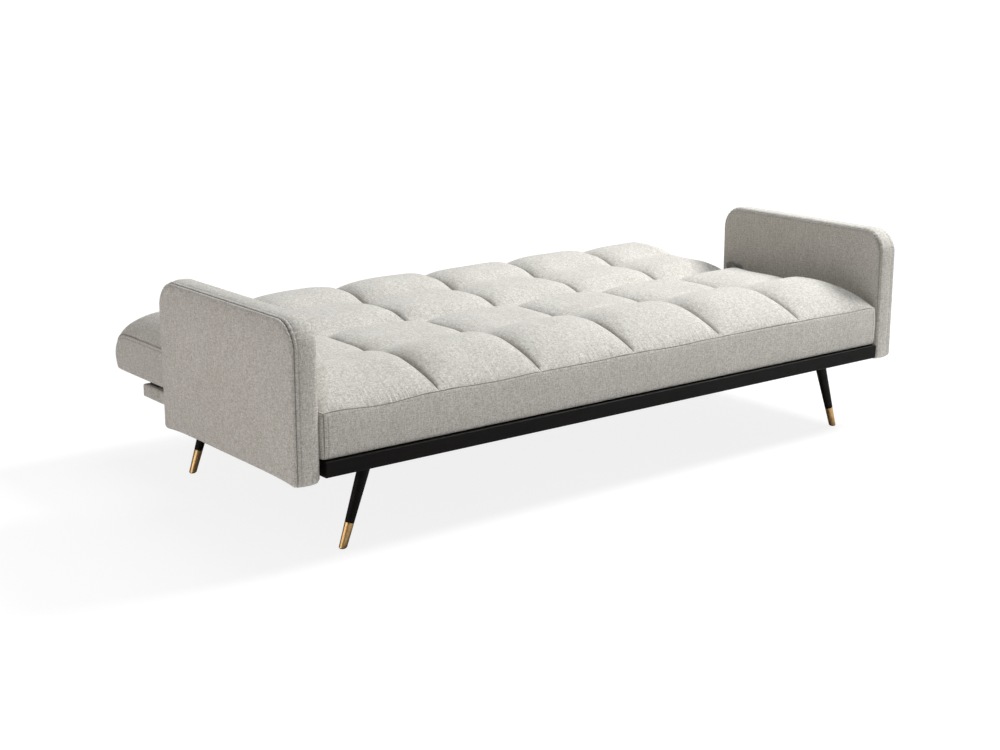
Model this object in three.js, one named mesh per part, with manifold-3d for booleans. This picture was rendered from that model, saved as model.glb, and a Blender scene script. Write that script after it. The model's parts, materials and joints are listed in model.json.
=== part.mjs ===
// A click clack sofa bed, shown opened flat as a bed.
// Millimetres, +X towards the arm on the right seen from the front, +Y towards the back, +Z up.
// The frame's origin is on the floor, under the middle of the whole bed.
import * as THREE from 'three';
import { mergeVertices } from 'three/addons/utils/BufferGeometryUtils.js';
import Module from 'manifold-3d';

const wasm = await Module();
wasm.setup();

// Clearances shared by all the pieces
const seatGap = 0.3;
const cutOverrun = 5;

// Arms: upholstered panels that stand outside the sleeping surface
const widthBetweenArms = 1800;
const armThickness = 68;
const armPastSeat = 76;
const armBottomZ = 189;
const armTopZ = 553;
const armTopCornerRadius = 62;
const armBottomCornerRadius = 10;
const armEdgeRounding = 11;
const armPadding = 20;
const armCoreGap = 0.5;

// Base rails
const railBottomZ = 196;
const frontRailHeight = 36;
const frontRailDepth = 100;
const frontRailProud = 9;
const innerRailHeight = 33;
const sideRailWidth = 40;
const rearRailDepth = 120;
const backOverhang = 150;
const centreRailWidth = 50;
const railEdgeRadius = 3;

// Legs, splayed to the sides only
const footInset = 88;
const frontFootY = 63;
const rearFootInset = 92;
const legSplay = THREE.MathUtils.degToRad(18.9);
const footDiameter = 18;
const legTopDiameter = 30;
const ferruleHeight = 57;
const ferruleWall = 1.5;
const spigotLength = 40;
const glideThickness = 2;
const glideInset = 1.5;
const legPlateThickness = 3;
const legPlateSize = 54;
const legPlateCornerRadius = 6;

// Facets of round forms
const turnedSides = 24;
const boltSides = 12;
const discSegments = 10;
const filletSegments = 4;
const timberFilletSegments = 2;
const armCurveSegments = 6;
const armBevelSegments = 2;

// Sleeping surface: seat and back cushions, each with the same boxed and quilted build
const cushionBottomZ = 236;
const edgeSeamZ = 338;
const crestZ = 412;
const seatDepth = 524;
const backDepth = 474;
const cushionJointGap = 12;
const freeRowDepth = 266;
const edgeShoulder = 135;
const jointShoulder = 85;
const jointRiseShare = 0.3;
const channelDrop = 27;
const tuftDrop = 9;
const rowDrop = 15;
const rowSpread = 52;
const tuftSpread = 60;
const boxingBulge = 4;
const pillowColumns = 6;
const columnShares = [0, 0.07, 0.24, 0.5, 0.76, 0.93];
const freeRowShares = [0, 0.05, 0.14, 0.3, 0.5, 0.7, 0.88];
const jointRowShares = [0, 0.12, 0.3, 0.5, 0.7, 0.86, 0.95, 1];
const boxingShares = [0.2, 0.5, 0.8];
const channelSharpnessShare = 0.6;

// Timber frame, spring set and dust cover inside each cushion's underside
const skirtThickness = 7;
const frameGap = 0.5;
const frameTimber = 30;
const frameTimberRadius = 2;
const dustCoverThickness = 1.2;
const wireThickness = 4;
const springCount = 7;
const springHalfLoops = 6;
const springHalfWidth = 22;
const springSeatOnRail = 18;
const tieWireWidth = 3;
const tieWireShares = [1 / 3, 2 / 3];
const pocketHeadroom = 2;

// Click clack hinges, one in the gap at each end of the cushions
const pivotZ = 360;
const leafThickness = 3;
const pinRadius = 6;
const pinHeadRadius = 9;
const pinHeadThickness = 3;
const pinHeadToArm = 0.8;
const pinClearance = 0.5;
const moverHubRadius = 15;
const sectorRadius = 21;
const notchDepth = 4.6;
const notchWidth = 7;
const bedNotchAngle = -10;
const loungeNotchAngle = 30;
const sitNotchAngle = 70;
const baseNeckWidth = 34;
const baseFootLength = 110;
const leafBoltLength = 52;
const leafBoltStart = 10;
const leafBoltHeight = 28;
const pawlPivotRadius = 32;
const pawlPivotAngle = 22;
const pawlTipClearance = 0.5;
const pawlToothWidth = 4;
const pawlBossRadius = 5.5;
const pawlPinRadius = 2.5;
const pawlPinClearance = 0.4;
const pawlSpringThickness = 1;
const pawlSpringReach = 26;
const pawlSpringFoot = 8;
const leafEyeMargin = 7;

// Arm fixings
const armSpacerFrontY = 130;
const armSpacerToHinge = 45;
const studInset = 50;
const studRadius = 4;
const studClearance = 0.5;
const studBite = 20;
const strapThickness = 3;
const strapHeight = 24;

// Bumpers that the sleeping surface rests on
const bumperLength = 40;
const bumperWidth = 20;
const seatBumperY = 150;
const backBumperPastRailFront = 60;
const bumperInset = 12;

// Places worked out from the sizes above
const armInnerX = widthBetweenArms / 2;
const armOuterX = armInnerX + armThickness;
const armDepth = seatDepth + armPastSeat;
const pivotY = seatDepth + cushionJointGap / 2;
const backJointY = seatDepth + cushionJointGap;
const bedRearY = backJointY + backDepth;
const hingeSpace = 3 * (leafThickness + seatGap) + seatGap + pinHeadThickness + pinHeadToArm;
const cushionHalfLength = armInnerX - hingeSpace;
const seatLeafStart = cushionHalfLength + seatGap;
const backLeafStart = seatLeafStart + leafThickness + seatGap;
const baseLeafStart = backLeafStart + leafThickness + seatGap;
const pinHeadStart = baseLeafStart + leafThickness + seatGap;
const railHalfLength = baseLeafStart - seatGap;
const frontRailFrontY = -frontRailProud;
const frontRailBackY = frontRailFrontY + frontRailDepth;
const rearRailBackY = bedRearY - backOverhang;
const rearRailFrontY = rearRailBackY - rearRailDepth;
const innerRailTopZ = railBottomZ + innerRailHeight;
const footHalfSpan = armInnerX - footInset;
const rearFootY = rearRailBackY - rearFootInset;
const armSpacerBackY = pivotY - baseFootLength / 2 - armSpacerToHinge;
const backBumperY = rearRailFrontY + backBumperPastRailFront;
const frameBottomZ = cushionBottomZ + dustCoverThickness + seatGap;
const frameTopZ = frameBottomZ + frameTimber;
const wireBottomZ = frameTopZ + seatGap;
const pocketTopZ = wireBottomZ + wireThickness + pocketHeadroom;
const overallDepth = bedRearY + boxingBulge - frontRailFrontY;
const originY = frontRailFrontY + overallDepth / 2;

// Finishes
const finishes = {
  fabric: { color: 0xd2cdc4, roughness: 0.95, metalness: 0 },
  blackPaint: { color: 0x1c1917, roughness: 0.45, metalness: 0 },
  brass: { color: 0xb98d4f, roughness: 0.35, metalness: 0.9 },
  timber: { color: 0xc9a774, roughness: 0.8, metalness: 0 },
  steel: { color: 0x8d8f92, roughness: 0.4, metalness: 0.9 },
  springSteel: { color: 0x5c5f63, roughness: 0.45, metalness: 0.9 },
  rubber: { color: 0x2a2a2a, roughness: 0.9, metalness: 0 },
  dustCloth: { color: 0x2b2a29, roughness: 1, metalness: 0 },
};

function makeMesh(name, geometry, finish) {
  const mesh = new THREE.Mesh(geometry, new THREE.MeshStandardMaterial(finishes[finish]));
  mesh.name = name;
  return mesh;
}

// Solids: joined and cut by booleans
function toSolid(geometry) {
  const bare = geometry.clone();
  bare.deleteAttribute('normal');
  bare.deleteAttribute('uv');
  const merged = mergeVertices(bare);
  return new wasm.Manifold(new wasm.Mesh({
    numProp: 3,
    vertProperties: new Float32Array(merged.attributes.position.array),
    triVerts: new Uint32Array(merged.index.array),
  }));
}

function toGeometry(solid) {
  const mesh = solid.getMesh();
  const geometry = new THREE.BufferGeometry();
  geometry.setAttribute('position', new THREE.BufferAttribute(new Float32Array(mesh.vertProperties), 3));
  geometry.setIndex(new THREE.BufferAttribute(new Uint32Array(mesh.triVerts), 1));
  geometry.computeVertexNormals();
  return geometry;
}

function cut(geometry, ...tools) {
  return toGeometry(tools.reduce((solid, tool) => solid.subtract(toSolid(tool)), toSolid(geometry)));
}

function join(...geometries) {
  return toGeometry(geometries.map(toSolid).reduce((whole, next) => whole.add(next)));
}

function box(x0, x1, y0, y1, z0, z1) {
  const geometry = new THREE.BoxGeometry(Math.abs(x1 - x0), y1 - y0, z1 - z0);
  return geometry.translate((x0 + x1) / 2, (y0 + y1) / 2, (z0 + z1) / 2);
}

// Outlines in the plane of a plate
function roundedRectangle(u0, u1, v0, v1, lowRadius, highRadius = lowRadius) {
  const shape = new THREE.Shape();
  shape.moveTo(u0 + lowRadius, v0);
  shape.lineTo(u1 - lowRadius, v0);
  shape.absarc(u1 - lowRadius, v0 + lowRadius, lowRadius, -Math.PI / 2, 0);
  shape.lineTo(u1, v1 - highRadius);
  shape.absarc(u1 - highRadius, v1 - highRadius, highRadius, 0, Math.PI / 2);
  shape.lineTo(u0 + highRadius, v1);
  shape.absarc(u0 + highRadius, v1 - highRadius, highRadius, Math.PI / 2, Math.PI);
  shape.lineTo(u0, v0 + lowRadius);
  shape.absarc(u0 + lowRadius, v0 + lowRadius, lowRadius, Math.PI, Math.PI * 1.5);
  return shape;
}

// Extrusions along each axis; a shape's first axis is Y, Z or X and its second Z, X or Y
const alongX = new THREE.Matrix4().makeBasis(
  new THREE.Vector3(0, 1, 0), new THREE.Vector3(0, 0, 1), new THREE.Vector3(1, 0, 0));
const alongY = new THREE.Matrix4().makeBasis(
  new THREE.Vector3(0, 0, 1), new THREE.Vector3(1, 0, 0), new THREE.Vector3(0, 1, 0));

function extrude(shape, start, end, matrix = new THREE.Matrix4(), curveSegments = filletSegments) {
  const low = Math.min(start, end);
  const geometry = new THREE.ExtrudeGeometry(shape, {
    depth: Math.abs(end - start), bevelEnabled: false, curveSegments });
  return geometry.translate(0, 0, low).applyMatrix4(matrix);
}

// A round bar along X between two places, with its middle at y, z
function barAlongX(radius, x0, x1, y, z, sides = turnedSides) {
  const geometry = new THREE.CylinderGeometry(radius, radius, Math.abs(x1 - x0), sides);
  return geometry.rotateZ(Math.PI / 2).translate((x0 + x1) / 2, y, z);
}

// Base rails
function railAlongX(halfLength, y0, y1, height) {
  const section = roundedRectangle(y0, y1, railBottomZ, railBottomZ + height, railEdgeRadius);
  return extrude(section, -halfLength, halfLength, alongX);
}

function railAlongY(x0, x1, y0, y1, height) {
  const section = roundedRectangle(railBottomZ, railBottomZ + height, Math.min(x0, x1), Math.max(x0, x1),
    railEdgeRadius);
  return extrude(section, y0, y1, alongY);
}

function studPlaces() {
  const middleZ = railBottomZ + innerRailHeight / 2;
  return [
    { y: armSpacerFrontY + studInset, z: middleZ },
    { y: armSpacerBackY - studInset, z: middleZ },
  ];
}

function studHoles(side) {
  const start = side * (railHalfLength - sideRailWidth - cutOverrun);
  const end = side * (armInnerX + armPadding + studBite + cutOverrun);
  return studPlaces().map((place) => barAlongX(studRadius + studClearance, start, end, place.y, place.z,
    boltSides));
}

function baseRails() {
  const sideFrontY = frontRailBackY + seatGap;
  const sideBackY = rearRailFrontY - seatGap;
  const rails = [
    makeMesh('front_rail', railAlongX(railHalfLength, frontRailFrontY, frontRailBackY, frontRailHeight),
      'blackPaint'),
    makeMesh('rear_rail', railAlongX(railHalfLength, rearRailFrontY, rearRailBackY, innerRailHeight),
      'fabric'),
    makeMesh('centre_rail', railAlongY(-centreRailWidth / 2, centreRailWidth / 2, sideFrontY, sideBackY,
      innerRailHeight), 'timber'),
  ];
  for (const [label, side] of [['left', -1], ['right', 1]]) {
    const rail = railAlongY(side * (railHalfLength - sideRailWidth), side * railHalfLength, sideFrontY,
      sideBackY, innerRailHeight);
    rails.push(makeMesh(`${label}_side_rail`, cut(rail, ...studHoles(side)), 'fabric'));
  }
  return rails;
}

// Legs: a tapered black leg on a spigot in a brass ferrule, with a glide under it and a plate over it
const legAxisLength = railBottomZ / Math.cos(legSplay);
const taper = (legTopDiameter - footDiameter) / 2 / legAxisLength;

function legRadius(distance) {
  return footDiameter / 2 + taper * distance;
}

function turned(points, side, footX, footY) {
  const profile = points.map(([radius, height]) => new THREE.Vector2(radius, height));
  const geometry = new THREE.LatheGeometry(profile, turnedSides);
  return geometry.rotateX(Math.PI / 2).rotateY(-side * legSplay).translate(side * footX, footY, 0);
}

function keepBetween(geometry, z0, z1, side, footY) {
  const slab = box(0, side * armOuterX, footY - legPlateSize, footY + legPlateSize, z0, z1);
  return toGeometry(toSolid(geometry).intersect(toSolid(slab)));
}

function leg(side, footY) {
  const joint = ferruleHeight / Math.cos(legSplay) + seatGap;
  const spigotEnd = joint - spigotLength;
  const spigotRadius = legRadius(spigotEnd) - ferruleWall - seatGap;
  const top = legAxisLength + legTopDiameter;
  const profile = [[0, spigotEnd], [spigotRadius, spigotEnd], [spigotRadius, joint],
    [legRadius(joint), joint], [legRadius(top), top], [0, top]];
  const plateBottomZ = railBottomZ - seatGap - legPlateThickness;
  return keepBetween(turned(profile, side, footHalfSpan, footY), 0, plateBottomZ - seatGap, side, footY);
}

function ferrule(side, footY) {
  const top = ferruleHeight / Math.cos(legSplay);
  const boreEnd = top - spigotLength;
  const boreRadius = legRadius(boreEnd) - ferruleWall;
  const start = -footDiameter;
  const profile = [[0, start], [legRadius(start), start], [legRadius(top), top], [boreRadius, top],
    [boreRadius, boreEnd], [0, boreEnd]];
  return keepBetween(turned(profile, side, footHalfSpan, footY), glideThickness + seatGap, railBottomZ, side,
    footY);
}

function glide(side, footY) {
  const radius = footDiameter / 2 - glideInset;
  const geometry = new THREE.CylinderGeometry(radius, radius, glideThickness, turnedSides);
  return geometry.rotateX(Math.PI / 2).translate(side * footHalfSpan, footY, glideThickness / 2);
}

function legPlate(side, footY) {
  const top = railBottomZ - seatGap;
  const middleX = side * (footHalfSpan - Math.tan(legSplay) * top);
  const half = legPlateSize / 2;
  const outline = roundedRectangle(middleX - half, middleX + half, footY - half, footY + half,
    legPlateCornerRadius);
  return extrude(outline, top - legPlateThickness, top);
}

function legs() {
  const pieces = [];
  for (const [row, footY] of [['front', frontFootY], ['rear', rearFootY]]) {
    for (const [label, side] of [['left', -1], ['right', 1]]) {
      pieces.push(makeMesh(`${row}_${label}_leg`, leg(side, footY), 'blackPaint'));
      pieces.push(makeMesh(`${row}_${label}_ferrule`, ferrule(side, footY), 'brass'));
      pieces.push(makeMesh(`${row}_${label}_glide`, glide(side, footY), 'rubber'));
      pieces.push(makeMesh(`${row}_${label}_leg_plate`, legPlate(side, footY), 'steel'));
    }
  }
  return pieces;
}

// Arms: a padded cover over a timber core, bolted to the side rail through a spacer
function armUpholstery(side) {
  const r = armEdgeRounding;
  const outline = roundedRectangle(r, armDepth - r, armBottomZ + r, armTopZ - r, armBottomCornerRadius,
    armTopCornerRadius - r);
  const geometry = new THREE.ExtrudeGeometry(outline, {
    depth: armThickness - 2 * r, bevelThickness: r, bevelSize: r, bevelSegments: armBevelSegments,
    curveSegments: armCurveSegments });
  const low = Math.min(side * armInnerX, side * armOuterX);
  geometry.translate(0, 0, low + r).applyMatrix4(alongX);
  const pocket = extrude(armCoreOutline(armPadding, armBottomZ - cutOverrun), side * (armInnerX + armPadding),
    side * (armOuterX - armPadding), alongX, armCurveSegments);
  return cut(geometry, pocket, ...studHoles(side));
}

function armCoreOutline(inset, bottomZ) {
  return roundedRectangle(inset, armDepth - inset, bottomZ, armTopZ - inset, railEdgeRadius,
    armTopCornerRadius - inset);
}

function armCore(side) {
  const inset = armPadding + armCoreGap;
  const core = extrude(armCoreOutline(inset, armBottomZ + armCoreGap), side * (armInnerX + inset),
    side * (armOuterX - inset), alongX, armCurveSegments);
  return cut(core, ...studHoles(side));
}

function armSpacer(side) {
  const section = roundedRectangle(armSpacerFrontY, armSpacerBackY, railBottomZ, innerRailTopZ,
    railEdgeRadius);
  const spacer = extrude(section, side * (railHalfLength + seatGap), side * (armInnerX - seatGap), alongX);
  return cut(spacer, ...studHoles(side));
}

function armStudPlate(side) {
  const strapOuter = side * (railHalfLength - sideRailWidth - seatGap);
  const strapInner = strapOuter - side * strapThickness;
  const middleZ = railBottomZ + innerRailHeight / 2;
  const outline = roundedRectangle(armSpacerFrontY, armSpacerBackY, middleZ - strapHeight / 2,
    middleZ + strapHeight / 2, railEdgeRadius);
  const strap = extrude(outline, strapInner, strapOuter, alongX);
  const studEnd = side * (armInnerX + armPadding + studBite);
  const studs = studPlaces().map((place) => barAlongX(studRadius, strapInner, studEnd, place.y, place.z,
    boltSides));
  return join(strap, ...studs);
}

function arms() {
  const pieces = [];
  for (const [label, side] of [['left', -1], ['right', 1]]) {
    pieces.push(makeMesh(`${label}_arm_upholstery`, armUpholstery(side), 'fabric'));
    pieces.push(makeMesh(`${label}_arm_core`, armCore(side), 'timber'));
    pieces.push(makeMesh(`${label}_arm_spacer`, armSpacer(side), 'timber'));
    pieces.push(makeMesh(`${label}_arm_stud_plate`, armStudPlate(side), 'steel'));
  }
  return pieces;
}

// Bumpers on the side rails and the rear rail
function bumper(side, y) {
  const outer = side * (railHalfLength - bumperInset);
  return box(outer - side * bumperWidth, outer, y, y + bumperLength, innerRailTopZ + seatGap,
    cushionBottomZ - seatGap);
}

function bumpers() {
  const pieces = [];
  for (const [label, side] of [['left', -1], ['right', 1]]) {
    pieces.push(makeMesh(`${label}_seat_bumper`, bumper(side, seatBumperY), 'rubber'));
    pieces.push(makeMesh(`${label}_back_bumper`, bumper(side, backBumperY), 'rubber'));
  }
  return pieces;
}

// Quilted cushions: v runs from the free edge, 0, to the edge at the seat and back joint
function shareOf(distance, shoulder) {
  return Math.min(Math.max(distance / shoulder, 0), 1);
}

// A full, round shoulder
function ellipseRise(distance, shoulder) {
  return Math.sqrt(1 - (1 - shareOf(distance, shoulder)) ** 2);
}

// A sloping shoulder, which leaves room for the two halves to close on each other
function slopingRise(distance, shoulder) {
  return Math.sin(shareOf(distance, shoulder) * Math.PI / 2);
}

function cushionHeight(x, v, depth) {
  const columnWidth = 2 * cushionHalfLength / pillowColumns;
  const columns = (x + cushionHalfLength) / columnWidth;
  const toLine = Math.abs(columns - Math.round(columns));
  const atEnd = Math.round(columns) === 0 || Math.round(columns) === pillowColumns;
  const freeRise = ellipseRise(v, edgeShoulder);
  const jointRise = jointRiseShare + (1 - jointRiseShare) * slopingRise(depth - v, jointShoulder);
  const endRise = ellipseRise(cushionHalfLength - Math.abs(x), edgeShoulder);
  const channel = atEnd ? 0 : 1 - Math.sin(Math.PI * toLine) ** channelSharpnessShare;
  const fromRow = v - freeRowDepth;
  const valley = Math.exp(-((fromRow / rowSpread) ** 2));
  const tuft = atEnd ? 0 : Math.exp(-((fromRow ** 2 + (toLine * columnWidth) ** 2) / tuftSpread ** 2));
  const dip = channelDrop * channel + rowDrop * valley + tuftDrop * tuft;
  return edgeSeamZ + (crestZ - edgeSeamZ - dip) * freeRise * jointRise * endRise;
}

function gridLines(depth) {
  const xs = [];
  const columnWidth = 2 * cushionHalfLength / pillowColumns;
  for (let column = 0; column < pillowColumns; column++) {
    columnShares.forEach((share) => xs.push(-cushionHalfLength + (column + share) * columnWidth));
  }
  xs.push(cushionHalfLength);
  const vs = freeRowShares.map((share) => share * freeRowDepth);
  jointRowShares.forEach((share) => vs.push(freeRowDepth + share * (depth - freeRowDepth)));
  return { xs, vs };
}

function cushionShell(depth) {
  const { xs, vs } = gridLines(depth);
  const positions = [];
  const index = [];
  const columns = xs.length;
  vs.forEach((v) => xs.forEach((x) => positions.push(drawnIn(x), v, cushionHeight(x, v, depth))));
  for (let j = 0; j + 1 < vs.length; j++) {
    for (let i = 0; i + 1 < columns; i++) {
      const a = j * columns + i;
      const [b, c, d] = [a + 1, a + columns + 1, a + columns];
      const atRight = i + 1 > columns / 2;
      const atJoint = vs[j + 1] > depth / 2;
      index.push(...(atRight === atJoint ? [a, b, c, a, c, d] : [a, b, d, b, c, d]));
    }
  }
  const ring = rim(columns, vs.length);
  const top = ring.ids.map((id) => positions.slice(3 * id, 3 * id + 3));
  let upper = ring.ids;
  for (const share of [...boxingShares, 1]) {
    const lower = upper.map((_, k) => positions.length / 3 + k);
    const bulge = boxingBulge * Math.sin(Math.PI * share);
    top.forEach(([x, y, z], k) => {
      const [nx, ny] = ring.normals[k];
      positions.push(x + nx * bulge, y + ny * bulge, z + (cushionBottomZ - z) * share);
    });
    upper.forEach((id, k) => {
      const next = (k + 1) % upper.length;
      index.push(id, lower[k], lower[next], id, lower[next], upper[next]);
    });
    upper = lower;
  }
  const middle = positions.length / 3;
  positions.push(0, depth / 2, cushionBottomZ);
  upper.forEach((id, k) => index.push(id, middle, upper[(k + 1) % upper.length]));
  const geometry = new THREE.BufferGeometry();
  geometry.setAttribute('position', new THREE.BufferAttribute(new Float32Array(positions), 3));
  geometry.setIndex(index);
  return geometry;
}

// The ends of the top panel are drawn in by the depth of the boxing's bulge
function drawnIn(x) {
  return x * (cushionHalfLength - boxingBulge) / cushionHalfLength;
}

// The grid's rim, anticlockwise seen from above, with each point's way out; the joint edge stays flat
function rim(columns, rows) {
  const ids = [];
  const normals = [];
  const add = (i, j) => {
    ids.push(j * columns + i);
    normals.push([i === 0 ? -1 : i === columns - 1 ? 1 : 0, j === 0 ? -1 : 0]);
  };
  for (let i = 0; i < columns - 1; i++) add(i, 0);
  for (let j = 0; j < rows - 1; j++) add(columns - 1, j);
  for (let i = columns - 1; i > 0; i--) add(i, rows - 1);
  for (let j = rows - 1; j > 0; j--) add(0, j);
  return { ids, normals };
}

function framePocket(depth) {
  const half = cushionHalfLength - boxingBulge - skirtThickness;
  return { half, v0: skirtThickness, v1: depth - skirtThickness };
}

function cushion(depth) {
  const pocket = framePocket(depth);
  const space = box(-pocket.half, pocket.half, pocket.v0, pocket.v1, cushionBottomZ - cutOverrun, pocketTopZ);
  return cut(cushionShell(depth), space);
}

// The timber frame in the cushion's underside, in the cushion's own places
function framePlaces(depth) {
  const pocket = framePocket(depth);
  return { half: pocket.half - frameGap, v0: pocket.v0 + frameGap, v1: pocket.v1 - frameGap };
}

function frameEndRail(depth, side) {
  const place = framePlaces(depth);
  const section = roundedRectangle(frameBottomZ, frameTopZ, place.half - frameTimber, place.half,
    frameTimberRadius);
  const rail = extrude(section, place.v0 + frameTimber + seatGap, place.v1 - frameTimber - seatGap, alongY,
    timberFilletSegments);
  return side > 0 ? rail : rail.rotateZ(Math.PI).translate(0, place.v0 + place.v1, 0);
}

function frameLongRail(depth, atJoint) {
  const place = framePlaces(depth);
  const start = atJoint ? place.v1 - frameTimber : place.v0;
  const section = roundedRectangle(start, start + frameTimber, frameBottomZ, frameTopZ, frameTimberRadius);
  return extrude(section, -place.half, place.half, alongX, timberFilletSegments);
}

// A zigzag spring lies across the two long rails; its outline is a mitred band along a square wave
function zigzagOutline(x, v0, v1) {
  const pitch = (v1 - v0) / springHalfLoops;
  const line = [];
  for (let loop = 0; loop <= springHalfLoops; loop++) {
    const swing = (loop % 2 === 0 ? -1 : 1) * springHalfWidth;
    line.push([x + swing, v0 + loop * pitch], [x - swing, v0 + loop * pitch]);
  }
  return line;
}

function bandAlong(line, width) {
  const offsets = line.map((point, k) => {
    const before = line[Math.max(k - 1, 0)];
    const after = line[Math.min(k + 1, line.length - 1)];
    const into = [point[0] - before[0], point[1] - before[1]];
    const out = [after[0] - point[0], after[1] - point[1]];
    const normals = [into, out].filter((d) => Math.hypot(...d) > 0).map((d) => {
      const size = Math.hypot(...d);
      return [-d[1] / size, d[0] / size];
    });
    const sum = normals.reduce((a, b) => [a[0] + b[0], a[1] + b[1]]);
    const scale = width / 2 / (normals.length > 1 ? (sum[0] ** 2 + sum[1] ** 2) / 2 : 1);
    return [sum[0] * scale, sum[1] * scale];
  });
  const shape = new THREE.Shape();
  const left = line.map((point, k) => [point[0] + offsets[k][0], point[1] + offsets[k][1]]);
  const right = line.map((point, k) => [point[0] - offsets[k][0], point[1] - offsets[k][1]]);
  [...right, ...left.reverse()].forEach(([u, v], k) => (k === 0 ? shape.moveTo(u, v) : shape.lineTo(u, v)));
  shape.closePath();
  return shape;
}

function springSet(depth) {
  const place = framePlaces(depth);
  const v0 = place.v0 + frameTimber - springSeatOnRail;
  const v1 = place.v1 - frameTimber + springSeatOnRail;
  const spacing = 2 * place.half / (springCount + 1);
  const pieces = [];
  const lineX = (k) => -place.half + (k + 1) * spacing;
  for (let k = 0; k < springCount; k++) {
    const band = bandAlong(zigzagOutline(lineX(k), v0, v1), wireThickness);
    pieces.push(extrude(band, wireBottomZ, wireBottomZ + wireThickness));
  }
  const tieZ = wireBottomZ + (wireThickness - tieWireWidth) / 2;
  for (const share of tieWireShares) {
    const v = v0 + share * (v1 - v0);
    pieces.push(box(lineX(0) - springHalfWidth, lineX(springCount - 1) + springHalfWidth,
      v - tieWireWidth / 2, v + tieWireWidth / 2, tieZ, tieZ + tieWireWidth));
  }
  return join(...pieces);
}

function dustCover(depth) {
  const place = framePlaces(depth);
  return box(-place.half, place.half, place.v0, place.v1, cushionBottomZ,
    cushionBottomZ + dustCoverThickness);
}

// One half of the bed: placed in the v direction for the seat, turned end for end for the back
function bedHalf(prefix, depth, place) {
  const pieces = [
    makeMesh(`${prefix}_cushion`, cushion(depth), 'fabric'),
    makeMesh(`${prefix}_edge_rail`, frameLongRail(depth, false), 'timber'),
    makeMesh(`${prefix}_joint_rail`, frameLongRail(depth, true), 'timber'),
    makeMesh(`${prefix}_spring_set`, springSet(depth), 'springSteel'),
    makeMesh(`${prefix}_dust_cover`, dustCover(depth), 'dustCloth'),
  ];
  const turnedRound = place.turned ? -1 : 1;
  for (const [label, side] of [['left', -1], ['right', 1]]) {
    pieces.push(makeMesh(`${prefix}_${label}_rail`, frameEndRail(depth, side * turnedRound), 'timber'));
  }
  const group = new THREE.Group();
  group.add(...pieces);
  group.position.y = place.y;
  group.rotation.z = place.turned ? Math.PI : 0;
  return group;
}

// Hinge outlines in the YZ plane
function polar(radius, degrees) {
  const angle = THREE.MathUtils.degToRad(degrees);
  return [pivotY + radius * Math.cos(angle), pivotZ + radius * Math.sin(angle)];
}

function disc(radius, y, z) {
  const shape = new THREE.Shape();
  shape.absarc(y, z, radius, 0, Math.PI * 2);
  return shape;
}

function layer(start, side, thickness = leafThickness) {
  return [side * start, side * (start + thickness)];
}

function pinHole(radius, start, side, y, z) {
  return barAlongX(radius, side * (start - cutOverrun), side * (start + leafThickness + cutOverrun), y, z);
}

function polygon(points) {
  const shape = new THREE.Shape();
  points.forEach(([u, v], k) => (k === 0 ? shape.moveTo(u, v) : shape.lineTo(u, v)));
  shape.closePath();
  return shape;
}

// The base leaf carries the notched sector and stands on the side rail
function hingeBaseLeaf(side) {
  const [x0, x1] = layer(baseLeafStart, side);
  const neckHalf = baseNeckWidth / 2;
  const footHalf = baseFootLength / 2;
  const body = polygon([
    [pivotY - neckHalf, pivotZ], [pivotY - neckHalf, innerRailTopZ + neckHalf],
    [pivotY - footHalf, innerRailTopZ], [pivotY - footHalf, railBottomZ],
    [pivotY + footHalf, railBottomZ], [pivotY + footHalf, innerRailTopZ],
    [pivotY + neckHalf, innerRailTopZ + neckHalf], [pivotY + neckHalf, pivotZ],
  ]);
  const whole = join(extrude(body, x0, x1, alongX), extrude(disc(sectorRadius, pivotY, pivotZ), x0, x1,
    alongX, discSegments));
  const notches = [bedNotchAngle, loungeNotchAngle, sitNotchAngle].map((degrees) => {
    const notch = box(side * (baseLeafStart - cutOverrun),
      side * (baseLeafStart + leafThickness + cutOverrun), sectorRadius - notchDepth,
      sectorRadius + notchDepth, -notchWidth / 2, notchWidth / 2);
    return notch.rotateX(THREE.MathUtils.degToRad(degrees)).translate(0, pivotY, pivotZ);
  });
  return cut(whole, pinHole(pinRadius + pinClearance, baseLeafStart, side, pivotY, pivotZ), ...notches);
}

// A moving leaf reaches from the pivot down to its frame's end rail; way is -1 to the seat, 1 to the back
function movingLeafOutline(way) {
  const near = pivotY + way * leafBoltStart;
  const far = near + way * leafBoltLength;
  const low = frameBottomZ;
  const high = frameBottomZ + leafBoltHeight;
  return polygon([
    [pivotY - moverHubRadius, pivotZ], [pivotY + moverHubRadius, pivotZ],
    ...(way > 0 ? [[far, high], [far, low], [near, low]] : [[near, low], [far, low], [far, high]]),
  ]);
}

function hingeSeatLeaf(side) {
  const [x0, x1] = layer(seatLeafStart, side);
  const leaf = join(extrude(movingLeafOutline(-1), x0, x1, alongX),
    extrude(disc(moverHubRadius, pivotY, pivotZ), x0, x1, alongX, discSegments));
  return cut(leaf, pinHole(pinRadius + pinClearance, seatLeafStart, side, pivotY, pivotZ));
}

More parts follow.
